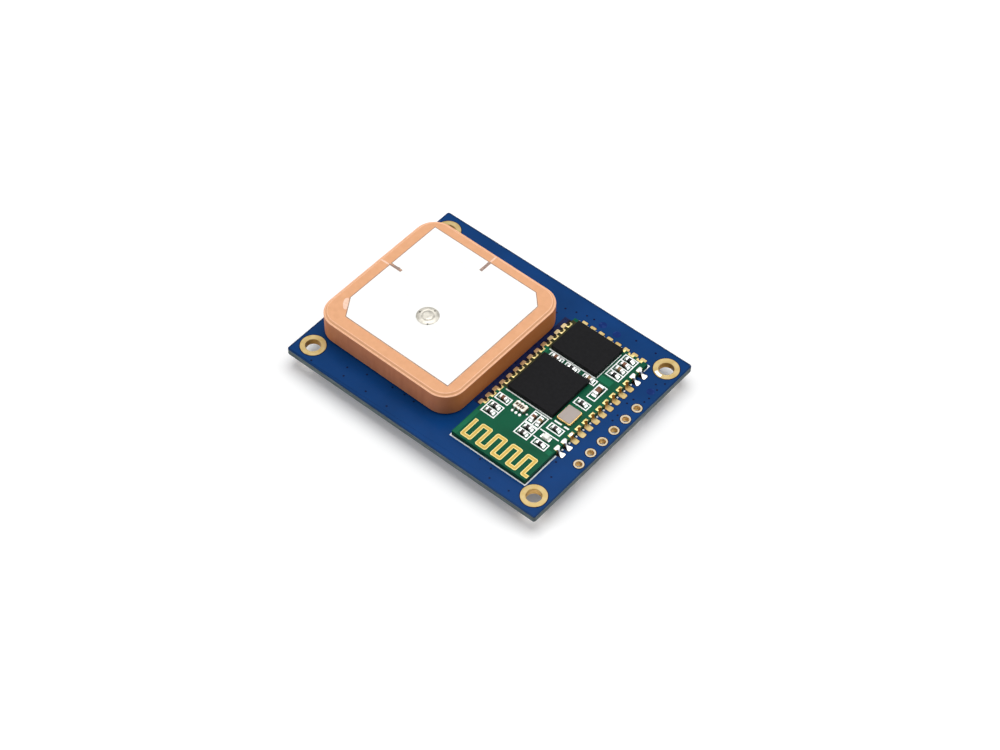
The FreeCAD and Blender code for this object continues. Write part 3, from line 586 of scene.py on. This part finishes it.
def make_feed():
    """Hand-soldered feed: a flat pin head in a low ring of solder, and a cone on the tail."""
    dome = box_of("feed_pin_top_solder")
    x, y = middle(dome).xy
    base = dome[0].z
    mesh = bmesh.new()
    profile = [(0.0, base), (1.6, base), (1.66, base + 0.03), (1.52, base + 0.13), (1.25, base + 0.21),
               (0.98, base + 0.24), (0.86, base + 0.2), (0.8, base + 0.24), (0.5, base + 0.27),
               (0.0, base + 0.25)]
    add_turned(mesh, profile, x, y, closed=False)
    finish_piece("feed_joint", mesh, [hand_solder], "solder", "feed_pin_top_solder")
    spots = bmesh.new()
    for right, back, rise in ((-1.18, -0.29, 0.2), (1.01, -1.19, 0.09), (0.27, 1.19, 0.2)):
        add_ball(spots, (x + right, y + back, base + rise), (0.13, 0.13, 0.05), segments=14, rows=8)
    finish_piece("feed_flux_spots", spots, [flux], "solder")
    pin = 0.4
    face = box_of("feed_pin_tail_solder")[1].z
    mesh = bmesh.new()
    profile = [(pin, face), (0.95, face), (0.88, face - 0.08), (0.62, face - 0.3), (0.46, face - 0.6),
               (pin, face - 0.72)]
    add_turned(mesh, profile, x, y)
    finish_piece("feed_tail_cone", mesh, [solder], "solder", "feed_pin_tail_solder")
    tip = box_of("feed_pin")[0].z
    mesh = bmesh.new()
    profile = [(0.0, tip), (pin - 0.06, tip), (pin, tip + 0.06), (pin, base), (0.0, base)]
    add_turned(mesh, profile, x, y, steps=32, closed=False)
    finish_piece("feed_shank", mesh, [tinned_ends], "tinned_copper", "feed_pin")


# Plated holes

def tint_barrel(mesh, radius):
    """Give the faces inside a plated hole the second material."""
    for face in mesh.faces:
        if all(vert.co.xy.length < radius for vert in face.verts):
            face.material_index = 1


def make_rings(name, node, metal, barrel, hole, ring, gap):
    """Plated barrels with a ring on each face, and round them the bare gap that the mask leaves, painted
    near-black as shade.
    """
    bore = hole / 2
    rim = ring / 2
    low, high = box_of(node)
    under = low.z + COPPER
    top = high.z - COPPER
    profile = [(bore, low.z + 0.05), (bore + 0.04, low.z), (rim - 0.01, low.z), (rim, under),
               (bore + 0.05, under), (bore + 0.05, top), (rim, top), (rim - 0.01, high.z),
               (bore + 0.04, high.z), (bore, high.z - 0.05)]
    template = bmesh.new()
    add_turned(template, profile, 0, 0, steps=64)
    tint_barrel(template, bore + 0.02)
    places = [placed(*middle(box).xy) for box in solids_of(node)]
    rings = repeated(template, places)
    for face in rings.faces:
        centre = face.calc_center_median()
        # The barrel at the board's +X -Y corner gets painted light like the header's
        if face.material_index == 1 and centre.x > 15 and centre.y < -12:
            face.material_index = 2
    finish_piece(name, rings, [metal, barrel, lit_barrel_gold], "gold_plating", node)
    # The bare gap round each ring is painted near-black as shade
    margin = bmesh.new()
    for z in (under - 0.004, top + 0.004):
        add_turned(margin, [(rim - 0.03, z), (rim + gap, z)], 0, 0, steps=64, closed=False)
    finish_piece(name + "_gap", repeated(margin, places), [gap_and_shade_blue], "blue_mask")


def make_painted_glint_on_ring():
    """A painted highlight on one side of a corner ring, made as a thin arc of solder."""
    box = solids_of("corner_hole_platings")[-1]
    z = box[1].z + 0.003
    template = bmesh.new()
    add_turned(template, [(1.28, z), (1.72, z)], 0, 0, steps=16, closed=False, angle=44.0)
    mesh = repeated(template, [placed(*middle(box).xy, turn=-125)])
    finish_piece("painted_glint_on_ring", mesh, [solder], "solder")


# Radio board's half holes, lands and joints

def half_hole(lip):
    """Half a barrel and its pad, at the origin and facing +X, with a sunk lip of the given width."""
    mesh = bmesh.new()
    bore = 0.27
    barrel = bore + 0.05
    inland = 0.45
    rim = 0.49
    foot = BOARD_TOP + COPPER
    top = RADIO_TOP + COPPER
    profile = [(bore, foot), (barrel, foot), (barrel, RADIO_TOP), (rim, RADIO_TOP), (rim, top - 0.01),
               (rim - 0.015, top), (bore + lip, top), (bore, top - lip)]
    add_turned(mesh, profile, 0, 0, steps=16, angle=180.0)
    bmesh.ops.rotate(mesh, verts=mesh.verts, cent=(0, 0, 0), matrix=Matrix.Rotation(math.pi / 2, 3, "Z"))
    # The outline of the pad is square, not round, and it ends a little earlier inland
    for vert in mesh.verts:
        reach = vert.co.xy.length
        if reach > rim - 0.1:
            stretch = reach / max(abs(vert.co.x), abs(vert.co.y))
            vert.co.x = max(vert.co.x * stretch, -inland)
            vert.co.y *= stretch
    close_holes(mesh)
    tint_barrel(mesh, bore + 0.02 + lip)
    return mesh


def edge_places(side):
    """Edge point and direction of each half hole on a side."""
    boxes = solids_of("radio_half_holes_" + side)
    if side == "left":
        return [placed(low.x, (low.y + high.y) / 2, turn=180) for low, high in boxes]
    if side == "right":
        return [placed(high.x, (low.y + high.y) / 2) for low, high in boxes]
    return [placed((low.x + high.x) / 2, high.y, turn=90) for low, high in boxes]


def make_half_holes():
    for side, lip, barrel in (("left", 0.08, shaded_gold), ("end", 0.01, shaded_barrel_gold),
                              ("right", 0.01, shaded_barrel_gold)):
        mesh = repeated(half_hole(lip), edge_places(side))
        finish_piece("half_holes_" + side, mesh, [gold_plating, barrel], "gold_plating",
                     "radio_half_holes_" + side)


def land_plate(start, reach, half_width, top, corner):
    """A plate on the blue board that faces +X, with its two outer corners rounded."""
    mesh = bmesh.new()
    add_box(mesh, (start, -half_width, BOARD_TOP), (reach, half_width, top))
    outer = [edge for edge in mesh.edges
             if min(vert.co.x for vert in edge.verts) > 0 and extent(edge, 1) < 0.1]
    soften(mesh, outer, corner, segments=6)
    return mesh


def make_lands():
    """Gold lands with rounded outer corners, and round them the bare gap that the mask leaves, painted
    near-black as shade.
    """
    reach = 1.02
    half_width = 0.45
    gap = 0.08
    lit_from = 8
    top = BOARD_TOP + COPPER
    for side, corner, metal in (("left", 0.14, shaded_land_gold), ("end", 0.14, land_gold),
                                ("right", 0.22, land_gold)):
        places = edge_places(side)
        land = land_plate(-0.6, reach, half_width, top, corner)
        soften(land, edges_above(land, top - 0.01), width=0.012, segments=1)
        lands = repeated(land, places)
        # The left lands are painted browner as shade, and the last of the row brighter as painted light
        for face in lands.faces:
            if side == "left" and face.calc_center_median().y > lit_from:
                face.material_index = 1
        finish_piece("lands_" + side, lands, [metal, lit_land_gold], "gold_plating",
                     "radio_lands_" + side)
        # The bare gap round each land is painted near-black as shade
        bare = land_plate(-0.5, reach + gap, half_width + gap, BOARD_TOP + 0.005, corner + 0.05)
        finish_piece("lands_" + side + "_gap", repeated(bare, places), [gap_and_shade_blue], "blue_mask")


def lofted(rings):
    """A closed skin over elliptical rings: middle x and z, tilt, half width and half height."""
    mesh = bmesh.new()
    last = None
    for index, (x, z, tilt, half_width, half_height) in enumerate(rings):
        turn = Matrix.Rotation(math.radians(tilt), 4, "Y")
        matrix = Matrix.Translation((x, 0, z)) @ turn @ Matrix.Diagonal((half_height, half_width, 1, 1))
        ends = index in (0, len(rings) - 1)
        made = bmesh.ops.create_circle(mesh, cap_ends=ends, radius=1, segments=20, matrix=matrix)["verts"]
        edges = [edge for edge in edges_of(made) if all(vert in made for vert in edge.verts)]
        if last:
            bmesh.ops.bridge_loops(mesh, edges=last + edges)
        last = edges
    return mesh


def make_joints():
    """Reflowed joints: a pillow on the pad, a neck in the half hole and a foot on the land."""
    places = edge_places("right")
    places.sort(key=lambda place: place.translation.y)
    footed = [
        (-0.53, 4.35, 90, 0.40, 0.02), (-0.47, 4.37, 90, 0.48, 0.07), (-0.25, 4.39, 90, 0.50, 0.12),
        (-0.09, 4.38, 95, 0.46, 0.13), (0.04, 4.28, 125, 0.25, 0.14), (0.10, 4.05, 160, 0.15, 0.15),
        (0.17, 3.80, 155, 0.15, 0.16), (0.34, 3.63, 120, 0.22, 0.14), (0.58, 3.56, 100, 0.37, 0.12),
        (0.80, 3.52, 92, 0.46, 0.09), (0.97, 3.49, 90, 0.45, 0.05), (1.03, 3.475, 90, 0.36, 0.01),
    ]
    dot = [
        (-0.50, 4.35, 90, 0.10, 0.01), (-0.42, 4.37, 90, 0.28, 0.06), (-0.24, 4.38, 90, 0.38, 0.10),
        (-0.06, 4.36, 95, 0.30, 0.08), (0.0, 4.35, 95, 0.12, 0.02),
    ]
    soldered = [places[0], places[1], places[-2], places[-1]]
    land_top = BOARD_TOP + COPPER
    residue = bmesh.new()
    add_box(residue, (-0.02, -0.45, land_top), (0.66, 0.45, land_top + 0.004))
    finish_piece("joint_flux", repeated(residue, soldered), [flux], "solder")
    joints = repeated(lofted(footed), soldered)
    joints = repeated(lofted(dot), [places[2]], joints)
    piece = finish_piece("soldered_joints", joints, [solder], "solder", "radio_solder_joints", sharp=180)
    smooth = piece.modifiers.new("smooth", "SUBSURF")
    smooth.levels = 1
    smooth.render_levels = 1


# Trace antenna

def make_trace():
    """Etched meander: the cut bends are rounded, and a band of painted highlight follows the rim."""
    mesh = merged_copy("trace_antenna")
    bends = [edge for edge in mesh.edges if 0.6 < edge.calc_face_angle(0) < 1.0]
    soften(mesh, bends, width=0.1, segments=3)
    # A band of painted highlight along the rim of the top
    band_top(mesh, box_of("trace_antenna")[1].z, width=0.1)
    finish_piece("meander", mesh, [trace_gold, trace_painted_highlight], "trace_gold", "trace_antenna")


# Packages and small parts

def make_rounded_box(name, node, material, slot, width, segments=3):
    """A plain box in place of a CAD node, its edges rounded."""
    mesh = bmesh.new()
    add_box(mesh, *box_of(node), width, segments)
    finish_piece(name, mesh, [material], slot, node)


def make_crystal():
    """Flat crystal package: dark foot, two gold rims with a dark seam between them, matt lid."""
    base_low, base_high = box_of("crystal_base")
    low, high = box_of("crystal_seal")
    lid_low, lid_high = box_of("crystal_lid")
    seam_low = low.z + 0.1
    seam_high = low.z + 0.13
    # Each level has its outline, its heights and how far it stands out towards +X and -Y
    levels = (
        ("foot", base_low, base_high, base_low.z, base_high.z, 0.0, dark_ceramic, "crystal_ceramic",
         ["crystal_base"]),
        ("rim_below", low, high, low.z, seam_low, 0.08, gold_seal, "gold_seal", ["crystal_seal"]),
        ("seam", low, high, seam_low, seam_high, 0.02, seam_brown, "gold_seal", []),
        ("rim_above", low, high, seam_high, high.z, 0.06, gold_seal, "gold_seal", []),
        ("cover", lid_low, lid_high, lid_low.z, lid_high.z, 0.0, nickel_lid, "nickel_lid", ["crystal_lid"]),
    )
    for name, near, far, bottom, top, step, finish, slot, nodes in levels:
        mesh = bmesh.new()
        add_box(mesh, (near.x, near.y - step, bottom), (far.x + step, far.y, top))
        soften(mesh, upright_edges(mesh, 0.02), width=0.22, segments=6)
        soften(mesh, edges_above(mesh, top - 0.001), width=0.012)
        finish_piece("crystal_" + name, mesh, [finish], slot, *nodes)


def solder_wedge():
    """Hollow slope of solder in a unit box: full height at x = 0, thin at x = 1."""
    mesh = bmesh.new()
    add_box(mesh, (0, -0.5, 0), (1, 0.5, 1))
    along = [edge for edge in mesh.edges if extent(edge, 0) > 0.5]
    bmesh.ops.subdivide_edges(mesh, edges=along, cuts=4)
    for vert in mesh.verts:
        if vert.co.z > 0.5:
            vert.co.z = 0.06 + 0.94 * (1 - vert.co.x) ** 2
    return mesh


def wedge_place(x, y, z, angle, length, width, height):
    return placed(x, y, z, angle) @ Matrix.Diagonal((length, width, height, 1.0))


def make_small_parts(name, body_node, end_node, finishes, body_slot, body_edge, order=(0,)):
    """Bodies in their own glazes, wrapped metal ends with solder down to the pads, and the bare
    laminate round the pads on the radio board, painted near-black as shade."""
    wrap = 0.03
    lift = 0.02
    slope = 0.3
    slope_rise = 0.75
    overhang = 0.04
    gap_beyond = 0.38
    gap_beside = 0.13
    mesh = bmesh.new()
    bodies = solids_of(body_node)
    for index, (low, high) in enumerate(bodies):
        add_box(mesh, low, high, body_edge, material=order[index % len(order)])
    finish_piece(name + "_bodies", mesh, finishes, body_slot, body_node)
    places = []
    ends = bmesh.new()
    bare = bmesh.new()
    for low, high in solids_of(end_node):
        centre = middle((low, high))
        owner = min(bodies, key=lambda box: (middle(box).xy - centre.xy).length)
        offset = centre - middle(owner)
        upward = low.z > BOARD_TOP
        add_box(ends, low - Vector((wrap, wrap, 0 if upward else lift)),
                high + Vector((wrap, wrap, lift if upward else 0)), 0.04)
        base = low.z if upward else high.z
        height = (high.z - low.z) * (slope_rise if upward else -slope_rise)
        if abs(offset.x) > abs(offset.y):
            angle = 0 if offset.x > 0 else 180
            places.append(wedge_place(high.x if offset.x > 0 else low.x, centre.y, base, angle,
                                      slope, high.y - low.y + 2 * overhang, height))
            spread = Vector((gap_beyond, gap_beside, 0))
        else:
            angle = 90 if offset.y > 0 else -90
            places.append(wedge_place(centre.x, high.y if offset.y > 0 else low.y, base, angle,
                                      slope, high.x - low.x + 2 * overhang, height))
            spread = Vector((gap_beside, gap_beyond, 0))
        if upward:
            inner = Vector((-0.2 * offset.x, -0.2 * offset.y, 0))
            far = high + inner + spread
            # The bare gap round the pads is painted near-black as shade
            add_box(bare, low + inner - spread, (far.x, far.y, base + 0.004))
    finish_piece(name + "_ends", ends, [tinned_ends], "lead_tin", end_node)
    finish_piece(name + "_solder", repeated(solder_wedge(), places), [solder], "solder")
    if bare.faces:
        finish_piece(name + "_gap", bare, [gap_and_shade_green], "green_mask")
    else:
        bare.free()


def make_band_filter():
    """Cream block with burnt-in marks, wrapped terminals and drops of solder before it."""
    make_rounded_box("filter_block", "band_filter", cream_ceramic, "filter_ceramic", width=0.06)
    low, high = box_of("band_filter")
    lap = 0.2
    mesh = bmesh.new()
    for near, far in solids_of("band_filter_terminals"):
        add_box(mesh, near, far + Vector((0, 0, 0.01)), width=0.01, segments=1)
        lap_y = far.y if near.y < low.y else near.y - lap
        add_box(mesh, (near.x, lap_y, high.z), (far.x, lap_y + lap, high.z + 0.012))
    finish_piece("filter_terminals", mesh, [tinned_ends], "tinned_copper", "band_filter_terminals")
    marks = bmesh.new()
    for x, y, length, width in ((9.02, -4.72, 0.36, 0.44), (9.42, -4.76, 0.26, 0.56),
                                (9.76, -4.76, 0.28, 0.56), (10.1, -4.8, 0.3, 0.5)):
        add_box(marks, (x - length / 2, y - width / 2, high.z),
                (x + length / 2, y + width / 2, high.z + 0.006), width=0.002, segments=1)
    finish_piece("filter_marks", marks, [brown_mark], "filter_ceramic")
    drops = bmesh.new()
    boxes = solids_of("band_filter_solder")
    floor = boxes[-1][0].z
    for box in boxes:
        x, y = middle(box).xy
        add_ball(drops, (x, y - 0.05, box[0].z), (0.24, 0.27, 0.24), segments=20, rows=12)
    bmesh.ops.bisect_plane(drops, geom=[*drops.verts, *drops.edges, *drops.faces],
                           plane_co=(0, 0, floor), plane_no=(0, 0, -1), clear_outer=True)
    close_holes(drops)
    finish_piece("filter_solder", drops, [solder], "solder", "band_filter_solder")


def make_lamp():
    """Indicator lamp: a pale carrier with metal ends and a clear lens that narrows upwards."""
    make_rounded_box("lamp_carrier", "lamp_base", lamp_body, "lamp_body", width=0.03, segments=2)
    low, high = box_of("lamp_lens")
    mesh = bmesh.new()
    add_box(mesh, low, high)
    top = [vert for vert in mesh.verts if vert.co.z > high.z - 0.001]
    bmesh.ops.scale(mesh, verts=top, vec=(0.86, 0.92, 1), space=Matrix.Translation(-middle((low, high))))
    soften(mesh, list(mesh.edges), width=0.05, segments=3)
    finish_piece("lamp_window", mesh, [lamp_resin], "lamp_resin", "lamp_lens")
    mesh = bmesh.new()
    for box in solids_of("lamp_ends"):
        add_box(mesh, *box, width=0.03)
    finish_piece("lamp_terminals", mesh, [tinned_ends], "gold_plating", "lamp_ends")


# Print, filled holes and copper below the mask

def make_marks():
    """White dots and dashes of the print that are too small for the source."""
    mesh = bmesh.new()
    dots = [(18.11, -5.99 + 1.5 * row, BOARD_TOP, 0.15) for row in range(11)]
    dots.append((10.98, -4.99, RADIO_TOP, 0.16))
    for x, y, face, radius in dots:
        add_disc(mesh, radius, 16, placed(x, y, face + 0.012))
    dashes = (
        (14.5, -3.44, 15.74, -3.16, RADIO_TOP), (16.18, -3.44, 16.98, -3.16, RADIO_TOP),
        (17.9, 11.95, 18.08, 13.2, BOARD_TOP), (17.6, 13.2, 18.08, 13.36, BOARD_TOP),
        (4.88, 12.95, 5.4, 13.1, BOARD_TOP),
    )
    for x0, y0, x1, y1, face in dashes:
        add_box(mesh, (x0, y0, face), (x1, y1, face + PRINT))
    finish_piece("print_marks", mesh, [white_ink], "white_ink")


def make_filled_holes():
    """Small holes closed by the mask, seen as dark dots on the blue board, and larger round spots."""
    holes = (
        (-18.42, -16.62), (-13.76, -14.28), (-13.12, -15.74), (-10.82, -13.46), (-8.94, -15.79),
        (-6.61, -12.86), (-5.01, -15.86), (-4.5, -12.73), (-2.71, -12.82), (10.65, -14.45),
        (12.81, -14.71), (13.69, -16.05), (17.02, -16.01), (19.88, -10.53), (18.75, -8.16),
        (2.41, 13.91), (1.92, 12.5), (4.04, 14.39), (5.59, 14.84), (6.8, 14.97), (13.75, 15.74),
        (17.23, 15.72), (20.7, 11.28), (21.61, 12.18), (21.43, 10.61), (21.52, 8.7), (21.41, 7.79),
        (20.0, 7.16), (19.74, 6.05), (20.06, 3.55), (20.1, 2.39),
    )
    spots = ((8.39, 14.94), (10.96, 14.87), (20.95, 9.8))
    for name, places, radius, segments, finish in (("filled_holes", holes, 0.16, 14, tented_blue),
                                                   ("bare_spots", spots, 0.6, 28, bare_blue)):
        mesh = bmesh.new()
        for x, y in places:
            add_disc(mesh, radius, segments, placed(x, y, BOARD_TOP + 0.003))
        finish_piece(name, mesh, [finish], "blue_mask")


def make_painted_shade():
    """Painted shade on the mask beside the ceramic and between the pads and the black chips."""
    near_end = -7.35
    far_end = 12.7
    radio_side = 4.94
    for name, x, rise, finish in (("channel_painted_shade", 3.36, 0.0015, channel_shade_blue),
                                  ("lands_painted_shade", 4.16, 0.003, lands_shade_blue)):
        mesh = bmesh.new()
        add_box(mesh, (x, near_end, BOARD_TOP - 0.001), (radio_side, far_end, BOARD_TOP + rise))
        finish_piece(name, mesh, [finish], "blue_mask")
    mesh = bmesh.new()
    for chip in ("radio_chip", "memory_chip"):
        low, high = box_of(chip)
        add_box(mesh, (radio_side + 0.03, low.y + 0.1, RADIO_TOP - 0.001),
                (low.x + 0.05, high.y, RADIO_TOP + 0.003))
    finish_piece("chip_side_painted_shade", mesh, [chip_side_shade_green], "green_mask")


def make_radio_print():
    """White print of the radio board; the line beside the memory chip is drawn finer."""
    line_x = 14.2
    line_start = 6.2
    share_left = 0.55
    mesh = merged_copy("radio_silkscreen")
    for vert in mesh.verts:
        if abs(vert.co.x - line_x) < 0.1 and vert.co.y > line_start:
            vert.co.x = line_x + share_left * (vert.co.x - line_x)
    finish_piece("radio_print", mesh, [white_ink], "white_ink", "radio_silkscreen")


def make_pours():
    """Copper areas below the green mask, a little lighter than the rest."""
    mesh = bmesh.new()
    for x0, y0, x1, y1 in ((14.18, 6.11, 16.48, 7.21), (17.0, -8.49, 17.8, -7.7),
                           (5.1, -13.75, 5.75, -8.7), (5.2, 5.2, 5.95, 6.1)):
        add_box(mesh, (x0, y0, RADIO_TOP), (x1, y1, RADIO_TOP + 0.007), width=0.002, segments=1)
    finish_piece("copper_areas", mesh, [poured_green], "green_mask")


# Underside

def make_shield():
    """Drawn steel can with small rounded edges, open towards the receiver board."""
    mesh = bmesh.new()
    add_box(mesh, *box_of("receiver_shield"))
    soften(mesh, upright_edges(mesh, 1), width=0.5, segments=6)
    rims = [edge for edge in mesh.edges if max(vert.co.z for vert in edge.verts) < 0.001]
    soften(mesh, rims, width=0.16, segments=4)
    bmesh.ops.delete(mesh, geom=[top_face(mesh)], context="FACES_ONLY")
    bmesh.ops.recalc_face_normals(mesh, faces=mesh.faces)
    bmesh.ops.solidify(mesh, geom=mesh.faces, thickness=0.2)
    finish_piece("shield_can", mesh, [shield_sheet], "shield_steel", "receiver_shield")


def make_underside_solder():
    places = []
    for low, high in solids_of("receiver_solder"):
        outward = 1 if low.y > 0 else -1
        near = low.y if outward > 0 else high.y
        places.append(wedge_place((low.x + high.x) / 2, near, high.z, 90 * outward,
                                  high.y - low.y, high.x - low.x, low.z - high.z))
    finish_piece("receiver_joints", repeated(solder_wedge(), places), [solder], "solder", "receiver_solder")


make_board()
make_ceramic()
make_electrode()
make_feed()
make_rings("corner_rings", "corner_hole_platings", ring_gold, shaded_barrel_gold, hole=2.2, ring=3.76, gap=0.12)
make_rings("header_rings", "header_hole_platings", header_ring_gold, lit_barrel_gold, hole=0.95, ring=1.5,
           gap=0.11)
make_rings("feed_ring", "feed_hole_plating", ring_gold, shaded_barrel_gold, hole=1.0, ring=1.9, gap=0.08)
make_painted_glint_on_ring()
make_half_holes()
make_lands()
make_joints()
make_trace()
make_rounded_box("radio_package", "radio_chip", chip_resin, "chip_resin", width=0.06)
make_rounded_box("memory_package", "memory_chip", chip_resin, "chip_resin", width=0.06)
make_crystal()
make_small_parts("small_capacitor", "small_capacitors", "small_capacitor_ends",
                 [brown_ceramic, tan_ceramic, grey_ceramic], "capacitor_ceramic", body_edge=0.04,
                 order=(2, 2, 0, 0, 0, 2, 2, 1, 1, 2, 2, 1, 0))
make_small_parts("small_resistor", "small_resistors", "small_resistor_ends", [black_glaze],
                 "resistor_glaze", body_edge=0.02)
make_small_parts("big_capacitor", "big_capacitor", "big_capacitor_ends", [brown_ceramic],
                 "capacitor_ceramic", body_edge=0.06)
make_small_parts("supply_capacitor", "supply_capacitors", "supply_capacitor_ends", [tan_ceramic],
                 "capacitor_ceramic", body_edge=0.06)
make_small_parts("supply_resistor", "supply_resistors", "supply_resistor_ends", [black_glaze],
                 "resistor_glaze", body_edge=0.03)
make_band_filter()
make_lamp()
make_marks()
make_filled_holes()
make_painted_shade()
make_radio_print()
make_pours()
make_shield()
make_underside_solder()
make_rounded_box("regulator_package", "regulator_body", chip_resin, "chip_resin", width=0.08)


# Camera, floor and light

def make_camera():
    """Camera at the photograph's viewpoint."""
    data = bpy.data.cameras.new("camera")
    data.lens = 85.96
    data.sensor_width = 36.0
    camera = linked("camera", data)
    camera.location = Vector((136.75, -163.81, 259.81)) * MM
    camera.rotation_euler = (0.68663, -0.01065, 0.70133)
    bpy.context.scene.camera = camera


def lit_or_seen(tree, lit, seen):
    """One shader for the light on the object, and another for what the camera sees straight, in gloss
    or through glass."""
    path = add(tree, "ShaderNodeLightPath").outputs
    direct = path["Is Camera Ray"]
    for other in ("Is Glossy Ray", "Is Transmission Ray"):
        direct = worked_out(tree, "MAXIMUM", direct, path[other])
    return add(tree, "ShaderNodeMixShader", {0: direct, 1: lit, 2: seen}).outputs[0]


def make_floor():
    """White paper sweep: plain diffuse for the light, a little brighter to the eye and in gloss."""
    mesh = bmesh.new()
    bmesh.ops.create_grid(mesh, x_segments=1, y_segments=1, size=1.5)
    floor = linked("floor", as_data("floor", mesh))
    material = bpy.data.materials.new("white_paper")
    tree = emptied(material)
    paper = add(tree, "ShaderNodeBsdfDiffuse", {"Color": colour("#BEBEBE")}).outputs["BSDF"]
    white = add(tree, "ShaderNodeBsdfDiffuse", {"Color": colour("#FAFAFA")}).outputs["BSDF"]
    glow = add(tree, "ShaderNodeEmission", {"Color": colour("#FFFFFF"), "Strength": 0.11})
    bright = add(tree, "ShaderNodeAddShader", {0: white, 1: glow.outputs["Emission"]}).outputs[0]
    add(tree, "ShaderNodeOutputMaterial", {"Surface": lit_or_seen(tree, paper, bright)})
    floor.data.materials.append(material)


def make_light(name, place, size, power):
    """Round soft box aimed at the board; place and size in metres, power in watts."""
    data = bpy.data.lights.new(name, "AREA")
    data.shape = "DISK"
    data.size = size
    data.energy = power
    light = linked(name, data)
    light.location = place
    light.rotation_euler = Vector(place).to_track_quat("Z", "Y").to_euler()


def make_world():
    """White studio room: dim as fill light, darkest on the camera's side, brighter to the eye and in
    gloss."""
    back_fill = 0.5
    front_fill = 0.06
    world = bpy.data.worlds.new("studio")
    bpy.context.scene.world = world
    tree = emptied(world)
    direction = add(tree, "ShaderNodeTexCoord").outputs["Generated"]
    towards_camera = {0: direction, 1: (0.707, -0.707, 0.0)}
    share = add(tree, "ShaderNodeVectorMath", towards_camera, operation="DOT_PRODUCT").outputs["Value"]
    fill = between(tree, share, back_fill, front_fill, start=0.0, end=0.9)
    dim = add(tree, "ShaderNodeBackground", {"Color": colour("#FFFFFF"), "Strength": fill}).outputs[0]
    white = add(tree, "ShaderNodeBackground", {"Color": colour("#FFFFFF"), "Strength": 1.0}).outputs[0]
    add(tree, "ShaderNodeOutputWorld", {"Surface": lit_or_seen(tree, dim, white)})


make_camera()
make_floor()
make_light("overhead_soft_box", (-0.02, 0.07, 0.45), size=0.42, power=1.26)
make_light("left_soft_box", (-0.3, -0.4, 0.3), size=0.36, power=0.6)
make_light("right_soft_box", (0.4, 0.3, 0.3), size=0.36, power=0.6)
make_world()
bpy.context.scene.view_settings.view_transform = "Standard"
